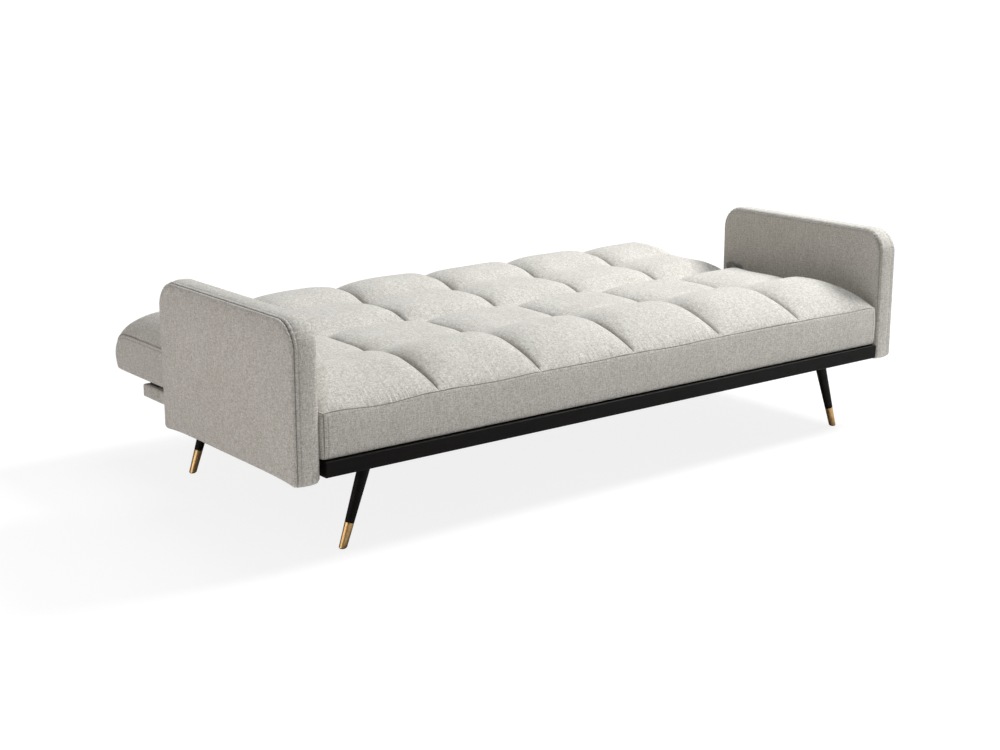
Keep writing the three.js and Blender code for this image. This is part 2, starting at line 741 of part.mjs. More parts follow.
// The back leaf stands one layer further out, so a pad at its foot fills the space to the cushion's end
function hingeBackLeaf(side) {
  const [x0, x1] = layer(backLeafStart, side);
  const [pawlY, pawlZ] = polar(pawlPivotRadius, pawlPivotAngle);
  const near = pivotY + leafBoltStart;
  const pad = box(side * seatLeafStart, side * (backLeafStart + leafThickness), near,
    near + leafBoltLength, frameBottomZ, frameBottomZ + leafBoltHeight);
  const eyeRadius = pawlBossRadius + leafEyeMargin;
  const angle = THREE.MathUtils.degToRad(pawlPivotAngle);
  const [webY, webZ] = [-eyeRadius * Math.sin(angle), eyeRadius * Math.cos(angle)];
  const web = polygon([[pivotY - webY, pivotZ - webZ], [pawlY - webY, pawlZ - webZ],
    [pawlY + webY, pawlZ + webZ], [pivotY + webY, pivotZ + webZ]]);
  const leaf = join(extrude(movingLeafOutline(1), x0, x1, alongX),
    extrude(disc(moverHubRadius, pivotY, pivotZ), x0, x1, alongX, discSegments),
    extrude(disc(eyeRadius, pawlY, pawlZ), x0, x1, alongX, discSegments),
    extrude(web, x0, x1, alongX), pad);
  return cut(leaf, pinHole(pinRadius + pinClearance, backLeafStart, side, pivotY, pivotZ),
    pinHole(pawlPinRadius + pawlPinClearance, backLeafStart, side, pawlY, pawlZ));
}

// The pawl turns on its own stub pin in the back leaf; its tooth rides just clear of the sector's rim
function pawl(side) {
  const [x0, x1] = layer(baseLeafStart, side);
  const [y, z] = polar(pawlPivotRadius, pawlPivotAngle);
  const tip = polar(sectorRadius + pawlTipClearance, bedNotchAngle);
  const half = THREE.MathUtils.radToDeg(pawlToothWidth / 2 / sectorRadius);
  const toothLow = polar(sectorRadius + pawlTipClearance, bedNotchAngle - half);
  const rootRadius = pawlPivotRadius - pawlBossRadius / 2;
  const outline = polygon([tip, toothLow, polar(rootRadius, bedNotchAngle - half),
    polar(pawlPivotRadius + pawlBossRadius, pawlPivotAngle / 2), [y, z],
    polar(rootRadius, bedNotchAngle + half)]);
  const stub = barAlongX(pawlPinRadius, side * backLeafStart, side * (baseLeafStart + leafThickness), y, z);
  return join(extrude(outline, x0, x1, alongX), extrude(disc(pawlBossRadius, y, z), x0, x1, alongX,
    discSegments), stub);
}

// A blade spring, riveted to the back leaf, whose free end stands behind the pawl
function pawlSpring(side) {
  const [x0, x1] = layer(baseLeafStart, side);
  const [y, z] = polar(pawlPivotRadius + pawlBossRadius, pawlPivotAngle / 2);
  const bladeY = y + seatGap + pawlSpringThickness;
  const blade = box(x0, x1, bladeY, bladeY + pawlSpringThickness, z - pawlSpringReach, z);
  const foot = box(side * (backLeafStart + leafThickness + seatGap), x1, bladeY, bladeY + pawlSpringFoot,
    z - pawlSpringReach, z - pawlSpringReach + pawlSpringFoot);
  return join(blade, foot);
}

function hingePin(side) {
  const headEnd = pinHeadStart + pinHeadThickness;
  const shank = barAlongX(pinRadius, side * seatLeafStart, side * headEnd, pivotY, pivotZ);
  const head = barAlongX(pinHeadRadius, side * pinHeadStart, side * headEnd, pivotY, pivotZ);
  return join(shank, head);
}

function hinges() {
  const pieces = [];
  for (const [label, side] of [['left', -1], ['right', 1]]) {
    pieces.push(makeMesh(`${label}_hinge_base_leaf`, hingeBaseLeaf(side), 'steel'));
    pieces.push(makeMesh(`${label}_hinge_seat_leaf`, hingeSeatLeaf(side), 'steel'));
    pieces.push(makeMesh(`${label}_hinge_back_leaf`, hingeBackLeaf(side), 'steel'));
    pieces.push(makeMesh(`${label}_hinge_pin`, hingePin(side), 'steel'));
    pieces.push(makeMesh(`${label}_pawl`, pawl(side), 'steel'));
    pieces.push(makeMesh(`${label}_pawl_spring`, pawlSpring(side), 'springSteel'));
  }
  return pieces;
}

const sofaBed = new THREE.Group();
sofaBed.add(...baseRails(), ...legs(), ...arms(), ...bumpers(), ...hinges());
sofaBed.add(bedHalf('seat', seatDepth, { y: 0, turned: false }));
sofaBed.add(bedHalf('back', backDepth, { y: bedRearY, turned: true }));
sofaBed.position.y = -originY;

export default sofaBed;
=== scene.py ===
# A click clack sofa bed opened flat: cloth, quilting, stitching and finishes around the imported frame.
import json
import math

import bmesh
import bpy
import numpy as np
from mathutils import Matrix, Vector
from mathutils.geometry import delaunay_2d_cdt


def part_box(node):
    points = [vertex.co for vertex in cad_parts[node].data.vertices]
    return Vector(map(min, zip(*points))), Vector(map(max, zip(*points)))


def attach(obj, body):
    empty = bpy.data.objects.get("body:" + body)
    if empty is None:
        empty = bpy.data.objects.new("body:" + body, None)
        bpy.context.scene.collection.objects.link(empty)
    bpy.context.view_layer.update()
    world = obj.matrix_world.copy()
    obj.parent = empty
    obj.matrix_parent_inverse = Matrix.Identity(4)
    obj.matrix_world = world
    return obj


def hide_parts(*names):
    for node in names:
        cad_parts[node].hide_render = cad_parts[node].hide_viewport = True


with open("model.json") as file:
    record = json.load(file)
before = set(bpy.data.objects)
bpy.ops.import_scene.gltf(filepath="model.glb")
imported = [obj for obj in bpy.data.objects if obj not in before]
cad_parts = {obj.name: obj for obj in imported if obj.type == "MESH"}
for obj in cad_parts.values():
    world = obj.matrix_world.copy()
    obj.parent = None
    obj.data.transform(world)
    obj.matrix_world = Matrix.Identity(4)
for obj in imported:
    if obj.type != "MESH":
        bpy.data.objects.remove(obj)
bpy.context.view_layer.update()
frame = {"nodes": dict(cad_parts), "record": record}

# ---- sizes, in metres; Y is counted from the arms' front plane and shifted into the frame by ORIGIN_Y
ORIGIN_Y = 0.5025
CUSHION_END = 0.886
BULGE = 0.004
TOP_HALF = CUSHION_END - BULGE
CUSHION_BOTTOM = 0.2336
RECESS_Z = 0.2738
SKIRT = 0.007
RIM_Z = 0.338
SEAM_LIFT = 0.015
SEAT_DEPTH = 0.524
BACK_DEPTH = 0.474
BED_REAR = SEAT_DEPTH + 0.012 + BACK_DEPTH
COLUMNS = 6
COLUMN = 2 * TOP_HALF / COLUMNS
SEAT_TUFT_V = 0.250
BACK_TUFT_V = 0.266
STEP = 0.008
STEPS_ACROSS = 46
ACROSS_EASE, ALONG_EASE = 0.128, 0.05
# How far the quilted top takes to rise from its edges, and how steeply
FREE_RISE, FREE_POWER = 0.150, 1.42
JOINT_RISE, JOINT_LOW = 0.085, 0.37
END_RISE, END_POWER = 0.098, 1.5
SEAM_JOINT_RISE, SEAM_JOINT_GAIN = 0.05, 0.38
# Unevenness as (height, size)
TOP_LUMPS = ((0.0020, 0.12), (0.0011, 0.05))
RIM_LUMPS = ((0.0012, 0.16), (0.0006, 0.045))
# The dip between a cushion's two rows of pillows, and the pits at its tufts
VALLEY_WIDTH, VALLEY_DEPTH = 0.034, 0.0100
PIT_ACROSS, PIT_ALONG, PIT_BEHIND, PIT_DEPTH = 0.050, 0.036, 0.022, 0.0075
BOXING_LEVELS = 13
COLUMN_SEAM_REACH, EDGE_SEAM_REACH = 0.022, 0.012
CORNER_SEAM = 0.002
PLAN_CORNER = 0.011
SEAT_SWELL, SEAT_CLEAR_V = 0.0135, 0.455
BACK_SWELL, BACK_CLEAR_V = 0.0060, 0.400
SWELL_X = 0.78
CONTACT_X = 0.8992
JOINT_LIP, LIP_FROM, LIP_OVER = 0.005, 0.300, 0.035
ROLL_DROP = 0.026
ROLL_OUT = 0.008
SECOND_LINE = 0.0085

ARM_IN = 0.900
ARM_OUT = 0.968
ARM_CORE_FACE = 0.9475
ARM_DEPTH = 0.600
ARM_BOTTOM = 0.189
ARM_TOP = 0.5485
ARM_CORNER = 0.062
ARM_FOOT_CORNER = 0.012
ARM_EDGE = 0.011
ARM_STEP = 0.006
SEAM_IN = 0.010
INNER_SEAM = 0.004
INNER_SCALE = 1.7

FOOT_X = 0.812
FRONT_FOOT_Y = -0.4395
REAR_FOOT_Y = 0.2655
LEG_SPLAY = math.radians(18.9)
LEG_FOOT_RADIUS = 0.009
LEG_TOP_RADIUS = 0.015
LEG_LENGTH = 0.196 / math.cos(LEG_SPLAY)
LEG_TOP_Z = 0.1924
FERRULE_TOP = 0.057
GLIDE_SIDES = 40
GLIDE_RINGS = ((0.0, 0.0068), (0.0003, 0.0073), (0.0008, 0.0075), (0.0017, 0.0075), (0.0021, 0.0073))
STAPLE_STEP = 0.045
# Yarns and slubs of the cloth, as noise scales across and along them
YARN_PITCH = 0.0030
YARN_SCALES = ((620, 75), (75, 620), (210, 17), (26, 260))
STITCH_PITCH = 0.0048

# The photo's camera: its lens in mm on a 36 mm sensor, and its angles in degrees
CAMERA_LENS = 60.62
CAMERA_PLACE = (-2.7094, -2.9493 - ORIGIN_Y, 1.2958)
CAMERA_DOWN, CAMERA_TURN = 14.220, -37.861


# ---- small helpers
def put(thing, **values):
    for key, value in values.items():
        setattr(thing, key, value)
    return thing


def link(obj):
    bpy.context.scene.collection.objects.link(obj)


def make_object(name, verts, faces, look=None, smooth=True):
    mesh = bpy.data.meshes.new(name)
    mesh.from_pydata([tuple(map(float, v)) for v in verts], [], [tuple(map(int, f)) for f in faces])
    mesh.validate()
    mesh.update()
    obj = bpy.data.objects.new(name, mesh)
    link(obj)
    if smooth:
        mesh.polygons.foreach_set("use_smooth", [True] * len(mesh.polygons))
    if look:
        mesh.materials.append(look)
    return obj


def ring_quads(rings, sides, start=0):
    """Faces between rings of points that follow each other, each a closed loop of the same length."""
    return [[start + r * sides + k, start + r * sides + (k + 1) % sides,
             start + (r + 1) * sides + (k + 1) % sides, start + (r + 1) * sides + k]
            for r in range(rings - 1) for k in range(sides)]


def face_outward(bm, faces=None):
    bmesh.ops.recalc_face_normals(bm, faces=faces or bm.faces)


def get_points(mesh):
    return np.array([v.co for v in mesh.vertices], float)


def set_points(obj, points):
    obj.data.vertices.foreach_set("co", points.astype(np.float32).ravel())
    obj.data.update()


def apply_modifiers(obj):
    deps = bpy.context.evaluated_depsgraph_get()
    mesh = bpy.data.meshes.new_from_object(obj.evaluated_get(deps), preserve_all_data_layers=True, depsgraph=deps)
    old = obj.data
    obj.modifiers.clear()
    obj.data = mesh
    bpy.data.meshes.remove(old)
    mesh.name = obj.name


def close_hole(obj):
    """One flat face over the only opening."""
    bm = bmesh.new()
    bm.from_mesh(obj.data)
    edges = [e for e in bm.edges if e.is_boundary]
    face = bmesh.ops.contextual_create(bm, geom=edges)["faces"][0]
    face.smooth = False
    face_outward(bm, [face])
    bm.to_mesh(obj.data)
    bm.free()


def ease(t):
    return t * t * (3 - 2 * t)


def smooth_noise(x, y, size, seed):
    """Soft value noise with cells of the given size, between -1 and 1."""
    table = np.random.default_rng(seed).uniform(-1, 1, (256, 256))
    u, v = x / size + 40, y / size + 40
    i, j = np.floor(u).astype(int), np.floor(v).astype(int)
    fu, fv = ease(u - i), ease(v - j)
    at = lambda a, b: table[a % 256, b % 256]
    low = at(i, j) * (1 - fu) + at(i + 1, j) * fu
    high = at(i, j + 1) * (1 - fu) + at(i + 1, j + 1) * fu
    return low * (1 - fv) + high * fv


def uneven(x, y, lumps, seed):
    return sum(height * smooth_noise(x, y, size, seed + k) for k, (height, size) in enumerate(lumps))


# ---- materials
class Nodes:
    """A node material under construction."""

    def __init__(self, name):
        self.material = bpy.data.materials.new(name)
        self.material.use_nodes = True
        self.tree = self.material.node_tree
        self.tree.nodes.clear()
        self.output = self.add("OutputMaterial")
        self.shader = self.add("BsdfPrincipled")
        self.tree.links.new(self.shader.outputs[0], self.output.inputs["Surface"])

    def add(self, kind, **settings):
        return put(self.tree.nodes.new("ShaderNode" + kind), **settings)

    def wire(self, value, socket):
        if isinstance(value, bpy.types.NodeSocket):
            self.tree.links.new(value, socket)
        else:
            socket.default_value = value

    def feed(self, node, **values):
        """Sets or links inputs by their names, with _ for a space."""
        for key, value in values.items():
            if value is not None:
                self.wire(value, node.inputs[key.replace("_", " ")])
        return node

    def math(self, operation, a, b=0.0, kind="Math"):
        node = self.add(kind, operation=operation)
        self.wire(a, node.inputs[0])
        self.wire(b, node.inputs[1])
        return node.outputs[0]

    def times(self, a, b):
        return self.math("MULTIPLY", a, b)

    def add_up(self, *terms):
        """Sum of sockets, each with its weight."""
        total = None
        for socket, weight in terms:
            part = socket if weight == 1 else self.times(socket, weight)
            total = part if total is None else self.math("ADD", total, part)
        return total

    def vector(self, operation, a, b):
        return self.math(operation, a, b, "VectorMath")

    def noise(self, where, scale, detail=2.0, roughness=0.5):
        """Noise with a scale for each axis."""
        scaled = self.vector("MULTIPLY", where, scale)
        node = self.add("TexNoise")
        return self.feed(node, Vector=scaled, Scale=1.0, Detail=detail, Roughness=roughness).outputs["Fac"]

    def ramp(self, value, low, high, out_low=0.0, out_high=1.0):
        node = self.add("MapRange", clamp=True)
        self.feed(node, Value=value, From_Min=low, From_Max=high, To_Min=out_low, To_Max=out_high)
        return node.outputs["Result"]

    def mix(self, factor, a, b):
        return self.feed(self.add("Mix", data_type="RGBA"), Factor=factor, A=a, B=b).outputs["Result"]

    def bump(self, height, distance, strength, normal=None):
        node = self.add("Bump")
        return self.feed(node, Strength=strength, Distance=distance, Height=height, Normal=normal).outputs["Normal"]

    def finish(self, colour, roughness, normal, specular=None):
        self.feed(self.shader, Base_Color=colour, Roughness=roughness, Normal=normal, Specular_IOR_Level=specular)
        return self.material

    def object_place(self):
        return self.add("TexCoord").outputs["Object"]

    def attribute(self, name):
        return self.add("Attribute", attribute_name=name).outputs["Vector"]

    def split(self, vector):
        return self.feed(self.add("SeparateXYZ"), Vector=vector).outputs


def rgb(r, g, b):
    return (r, g, b, 1.0)


CLOTH_DARK = rgb(0.400, 0.372, 0.332)
CLOTH_MID = rgb(0.585, 0.556, 0.508)
CLOTH_LIGHT = rgb(0.770, 0.748, 0.702)


def cloth_material(name, seams):
    """Greige melange linen weave. With seams, the piece carries the attributes cloth (across, along, folds) and
    stitch (run, distance from the seam, kind: 1 a seam, 2 with a second line beside it, 3 deep, with painted
    crease shade); without, it is mapped from the object's own place. Seams get painted shade in their groove."""
    n = Nodes(name)
    place = n.attribute("cloth") if seams else n.object_place()
    warp, weft, slub_warp, slub_weft = (n.noise(place, (across, along, 0 if seams else along), 2.0, 0.6)
                                        for across, along in YARN_SCALES)
    blotch = n.noise(n.object_place(), (9, 9, 9))
    grain = n.noise(n.object_place(), (470, 470, 470), 3.0, 0.7)
    speck = n.noise(n.object_place(), (240, 200, 260), 2.0, 0.6)
    fine = n.add_up((warp, 1), (weft, 1))
    slub = n.add_up((slub_warp, 1.15), (slub_weft, 0.85))
    shade = n.add_up((fine, 0.34), (slub, 0.14), (grain, 0.62), (speck, 0.34), (blotch, 0.05))
    dark = n.mix(n.ramp(shade, 0.835, 0.975), CLOTH_DARK, CLOTH_MID)
    colour = n.mix(n.ramp(shade, 0.975, 1.115), dark, CLOTH_LIGHT)
    # Over-and-under of the yarns
    parts = n.split(place)
    over = n.math("SINE", n.times(parts[0], 2 * math.pi / YARN_PITCH))
    under = n.math("SINE", n.times(parts[1], 2 * math.pi / YARN_PITCH))
    knit = n.times(over, under)
    height = n.add_up((knit, 0.22), (fine, 1), (grain, 0.8))
    normal = n.bump(height, 0.0007, 0.55)
    if seams:
        stitch = n.split(n.attribute("stitch"))
        run, away, kind = stitch[0], stitch[1], stitch[2]
        # Small folds that run from a seam into the cloth
        folds = n.noise(n.attribute("stitch"), (70, 12, 0))
        folds = n.times(n.math("SUBTRACT", folds, 0.5), parts[2])
        normal = n.bump(folds, 0.0045, 0.9, normal)
        size = n.math("ABSOLUTE", away)
        groove = n.ramp(size, 0.0002, 0.0013, 1.0, 0.0)
        groove = n.times(groove, n.ramp(kind, 0.0, 1.0))
        second = n.ramp(kind, 1.0, 2.0)
        line = n.math("ABSOLUTE", n.math("SUBTRACT", away, SECOND_LINE))
        thread = n.times(n.ramp(line, 0.0003, 0.0009, 1.0, 0.0), second)
        dash = n.math("SINE", n.times(run, 2 * math.pi / STITCH_PITCH))
        dash = n.ramp(dash, -0.55, -0.15)
        hole_shade = n.times(thread, n.math("SUBTRACT", 1.0, dash))
        thread = n.times(thread, dash)
        dip = n.times(n.ramp(line, 0.0004, 0.0022, 1.0, 0.0), second)
        # Painted shade: the cloth within 16 mm of a deep crease's seam is darkened, for the shade at the crease's
        # bottom
        deep = n.ramp(kind, 2.0, 3.0)
        crease = n.math("POWER", n.ramp(size, 0.0035, 0.016, 1.0, 0.0), 1.3)
        crease_painted_shade = n.times(n.times(crease, deep), 0.50)
        colour = n.mix(crease_painted_shade, colour, rgb(0.17, 0.152, 0.13))
        # Painted shade: the colour darkens in each seam's groove, in the dip along the second stitched line and in the
        # holes between its stitches
        colour = n.mix(n.times(groove, 0.70), colour, rgb(0.13, 0.115, 0.10))
        colour = n.mix(n.times(dip, 0.22), colour, rgb(0.20, 0.18, 0.16))
        colour = n.mix(n.times(hole_shade, 0.6), colour, rgb(0.12, 0.10, 0.09))
        pale = n.math("ADD", 0.35, n.times(deep, 0.5))
        colour = n.mix(n.times(thread, pale), colour, rgb(0.56, 0.53, 0.48))
        relief = n.add_up((thread, 0.25), (groove, -1), (dip, -0.5))
        normal = n.bump(relief, 0.0016, 0.8, normal)
    n.feed(n.shader, Sheen_Weight=0.15, Sheen_Roughness=0.45)
    return n.finish(colour, n.ramp(shade, 0.73, 1.13, 0.97, 0.86), normal, 0.25)


def lacquer_material():
    n = Nodes("black_lacquer")
    place = n.object_place()
    drift = n.noise(place, (6, 40, 40), 3.0)
    peel = n.noise(place, (260, 260, 260))
    wear = n.noise(place, (35, 90, 90), 5.0, 0.7)
    colour = n.mix(n.ramp(drift, 0.3, 0.7), rgb(0.0042, 0.0034, 0.0030), rgb(0.0075, 0.0062, 0.0055))
    colour = n.mix(n.ramp(wear, 0.68, 0.80, 0.0, 0.30), colour, rgb(0.018, 0.015, 0.013))
    return n.finish(colour, n.ramp(wear, 0.3, 0.75, 0.38, 0.56), n.bump(peel, 0.0004, 0.25), 0.09)


def metal_material(name, low, high, rough_low, rough_high, stretch):
    """Metal with a fine brushed direction, slight stains and uneven gloss."""
    n = Nodes(name)
    place = n.object_place()
    brushed = n.noise(place, stretch, 3.0, 0.6)
    stain = n.noise(place, (45, 45, 45), 4.0, 0.6)
    colour = n.mix(n.ramp(stain, 0.3, 0.7), rgb(*low), rgb(*high))
    n.feed(n.shader, Metallic=1.0)
    gloss = n.add_up((brushed, 0.6), (stain, 0.4))
    return n.finish(colour, n.ramp(gloss, 0.3, 0.7, rough_low, rough_high), n.bump(brushed, 0.0003, 0.3))


def timber_material():
    n = Nodes("timber")
    place = n.object_place()
    warp = n.noise(place, (1.2, 5, 5))
    rings = n.vector("ADD", n.vector("MULTIPLY", place, (3.5, 95, 95)), warp)
    grain = n.noise(rings, (1, 1, 1), 5.0, 0.65)
    pores = n.noise(place, (18, 600, 600), 2.0, 0.6)
    colour = n.mix(n.ramp(grain, 0.35, 0.68), rgb(0.335, 0.205, 0.105), rgb(0.585, 0.405, 0.235))
    colour = n.mix(n.ramp(pores, 0.60, 0.75, 0.0, 0.4), colour, rgb(0.22, 0.13, 0.065))
    return n.finish(colour, n.ramp(grain, 0.3, 0.7, 0.62, 0.80), n.bump(n.math("ADD", grain, pores), 0.0006, 0.35))


def rubber_material():
    n = Nodes("rubber")
    place = n.object_place()
    grit = n.noise(place, (700, 700, 700), 3.0)
    dust = n.noise(place, (60, 60, 60), 4.0)
    colour = n.mix(n.ramp(dust, 0.4, 0.75), rgb(0.018, 0.018, 0.018), rgb(0.045, 0.043, 0.040))
    return n.finish(colour, n.ramp(grit, 0.3, 0.7, 0.78, 0.95), n.bump(grit, 0.0004, 0.4))


def dust_cloth_material():
    n = Nodes("dust_cloth")
    place = n.object_place()
    fibres = n.noise(place, (900, 420, 900), 4.0, 0.7)
    dots = n.add("TexVoronoi")
    n.wire(n.vector("MULTIPLY", place, (420, 420, 420)), dots.inputs["Vector"])
    dots.inputs["Scale"].default_value = 1.0
    colour = n.mix(n.ramp(fibres, 0.35, 0.7), rgb(0.014, 0.014, 0.015), rgb(0.042, 0.041, 0.040))
    normal = n.bump(n.math("ADD", fibres, dots.outputs["Distance"]), 0.0005, 0.5)
    return n.finish(colour, n.ramp(fibres, 0.3, 0.7, 0.82, 0.97), normal)


sewn_cloth = cloth_material("sewn_cloth", True)
wrap_cloth = cloth_material("wrap_cloth", False)
lacquer = lacquer_material()
brass = metal_material("brass", (0.435, 0.262, 0.104), (0.626, 0.418, 0.198), 0.22, 0.40, (500, 500, 40))
zinc = metal_material("zinc_steel", (0.27, 0.27, 0.26), (0.41, 0.40, 0.38), 0.38, 0.60, (60, 700, 700))
spring_wire = metal_material("spring_wire", (0.10, 0.10, 0.11), (0.21, 0.20, 0.20), 0.35, 0.60, (300, 300, 300))
timber = timber_material()
rubber = rubber_material()
dust_cloth = dust_cloth_material()

slot_looks = {"upholstery": wrap_cloth, "black_lacquer": lacquer, "brass_tip": brass, "timber": timber,
              "zinc_steel": zinc, "spring_wire": spring_wire, "rubber": rubber, "dust_cloth": dust_cloth}
for part in frame["record"]["subparts"]:
    node = frame["nodes"][part["node"]]
    node.data.materials.clear()
    node.data.materials.append(slot_looks[part["material_slot"]])


# ---- padded cloth
def sewn_object(name, points, faces, cloth, stitch):
    """A cover with the two attributes that the sewn cloth reads, each with a vector for every face corner."""
    obj = make_object(name, points, faces, sewn_cloth)
    for key, values in (("cloth", cloth), ("stitch", stitch)):
        layer = obj.data.attributes.new(key, "FLOAT_VECTOR", "CORNER")
        layer.data.foreach_set("vector", np.asarray(values, np.float32).ravel())
    return obj


def inflate(obj, pins, cap, frames=20, pressure=3.0, grow=0.02):
    """Pressure pushes the cover out, by cap at most, between the points that seams and stitches hold."""
    start = get_points(obj.data)
    group = obj.vertex_groups.new(name="held")
    for weight in np.unique(np.round(pins, 2)):
        if weight > 0:
            group.add([int(i) for i in np.flatnonzero(np.round(pins, 2) == weight)], float(weight), "REPLACE")
    cloth = obj.modifiers.new("Cloth", "CLOTH")
    put(cloth.settings, quality=5, mass=0.3, tension_stiffness=15, compression_stiffness=12, shear_stiffness=6,
        bending_stiffness=0.8, tension_damping=8, compression_damping=8, air_damping=2, use_pressure=True,
        uniform_pressure_force=pressure, shrink_min=-grow, vertex_group_mass="held", pin_stiffness=1.0)
    cloth.settings.effector_weights.gravity = 0
    cloth.collision_settings.use_collision = False
    cloth.point_cache.frame_start = 1
    cloth.point_cache.frame_end = frames
    scene = bpy.context.scene
    for number in range(1, frames + 1):
        scene.frame_set(number)
    deps = bpy.context.evaluated_depsgraph_get()
    end = get_points(obj.evaluated_get(deps).to_mesh())
    obj.evaluated_get(deps).to_mesh_clear()
    obj.modifiers.clear()
    obj.vertex_groups.clear()
    scene.frame_set(1)
    move = end - start
    size = np.linalg.norm(move, axis=1, keepdims=True)
    move *= cap * np.tanh(size / cap) / np.maximum(size, 1e-9)
    set_points(obj, start + move)


# ---- quilted cushions. v runs from the free edge to the joint between the halves
def share(distance, shoulder):
    return np.clip(distance / shoulder, 0, 1)


def round_rise(distance, shoulder, power):
    return (1 - (1 - share(distance, shoulder)) ** power) ** (1 / power)


def seam_lines(x):
    """Signed distance across the cushion to the nearest inner column seam."""
    t = (x + TOP_HALF) / COLUMN
    nearest = np.clip(np.round(t), 1, COLUMNS - 1)
    return (t - nearest) * COLUMN


def pillow_height(x, v, depth, tuft_v, crests, slopes, seed):
    """Height of the quilted cover over the rim's plane at x, v."""
    t = (x + TOP_HALF) / COLUMN
    line = np.abs(t - np.round(t)) * 2
    inner = (np.round(t) > 0) & (np.round(t) < COLUMNS)
    free = round_rise(v, FREE_RISE, FREE_POWER)
    joint = JOINT_LOW + (1 - JOINT_LOW) * np.sin(share(depth - v, JOINT_RISE) * np.pi / 2)
    ends = round_rise(TOP_HALF - np.abs(x), END_RISE - 0.055 * np.exp(-(((depth - v) / 0.06) ** 2)), END_POWER)
    valley = np.exp(-(((v - tuft_v) / VALLEY_WIDTH) ** 2))
    # The crest of each pillow, by column and row, blended softly from one to the next
    place = np.clip(t - 0.5, 0, COLUMNS - 1)
    low = np.floor(place).astype(int)
    high = np.minimum(low + 1, COLUMNS - 1)
    part = ease(place - low)
    front_row = crests[0][low] * (1 - part) + crests[0][high] * part
    joint_row = crests[1][low] * (1 - part) + crests[1][high] * part
    turn = 1 / (1 + np.exp(-(v - tuft_v) / 0.022))
    lift = front_row * (1 - turn) + joint_row * turn - RIM_Z
    crest = (lift - VALLEY_DEPTH * valley * (0.55 + 0.45 * line)) * free * joint
    # The tufts, at the crossings of the two kinds of seam
    pit = np.exp(-(line * COLUMN / 2 / PIT_ACROSS) ** 2 - ((v - tuft_v - PIT_BEHIND) / PIT_ALONG) ** 2)
    crest = crest - PIT_DEPTH * pit * inner
    near_joint = 1 - np.sin(share(depth - v, SEAM_JOINT_RISE) * np.pi / 2)
    seam = SEAM_LIFT * free * (1 + SEAM_JOINT_GAIN * near_joint) - 0.003 * valley
    across = np.where(inner, round_rise(line, 1.0, np.where(t > np.round(t), slopes[0], slopes[1])), 1.0)
    height = np.where(inner, seam + (crest - seam) * across, crest)
    rise = np.maximum(1 - ((1 - free) ** 4 + (1 - ends) ** 4) ** 0.25, 0)
    height = height * rise / np.maximum(free, 1e-3)
    return height + uneven(x, v, TOP_LUMPS, seed) * across * free * joint * ends


def round_corners(obj, end):
    """Turns the two square corners at the free edge, seen from above, into round ones, and flattens the ends
    where they touch the arms."""
    points = get_points(obj.data)
    a = PLAN_CORNER - (end - np.abs(points[:, 0]))
    b = PLAN_CORNER - points[:, 1]
    at = (a > 0) & (b > 0)
    scale = np.maximum(a, b)[at] / np.hypot(a, b)[at]
    points[at, 0] = np.sign(points[at, 0]) * (end - PLAN_CORNER + a[at] * scale)
    points[at, 1] = PLAN_CORNER - b[at] * scale
    points[:, 0] = np.clip(points[:, 0], -CONTACT_X, CONTACT_X)
    set_points(obj, points)


def swell(points, turned):
    """The ends stand out to the arms away from the hinges, the two halves' upper edges nearly meet over the
    joint, and the back half's free edge is a soft roll."""
    x, v, z = points[:, 0].copy(), points[:, 1].copy(), points[:, 2].copy()
    clear = ease(share((BACK_CLEAR_V if turned else SEAT_CLEAR_V) - v, 0.08))
    near_end = share(np.abs(x) - SWELL_X, TOP_HALF - SWELL_X) ** 2
    wide = np.where(z > CUSHION_BOTTOM - 0.001, 1.0, 0.0)
    points[:, 0] += np.sign(x) * (BACK_SWELL if turned else SEAT_SWELL) * clear * near_end * wide
    points[:, 1] += JOINT_LIP * ease(share(z - LIP_FROM, LIP_OVER)) * (v > v.max() - 0.0005)
    if turned:
        points[:, 2] -= ROLL_DROP * np.exp(-(v.clip(0) / 0.020) ** 1.2) * share(z - 0.262, 0.07)
        points[:, 1] -= ROLL_OUT * np.sin(np.pi * share(z - 0.205, 0.150)) * np.exp(-v.clip(0) / 0.02)
        rim = np.exp(-v.clip(0) / 0.03) + np.exp(-(TOP_HALF - np.abs(x)).clip(0) / 0.03)
        points[:, 2] += 0.004 * np.exp(-((z - CUSHION_BOTTOM) / 0.012) ** 2) * rim.clip(0, 1) * (v < 0.40)
    return points


def eased_steps(count, strength):
    """Shares from 0 to 1 that lie closer together at both ends."""
    u = np.linspace(0, 1, count + 1)
    return u - strength * np.sin(2 * np.pi * u)


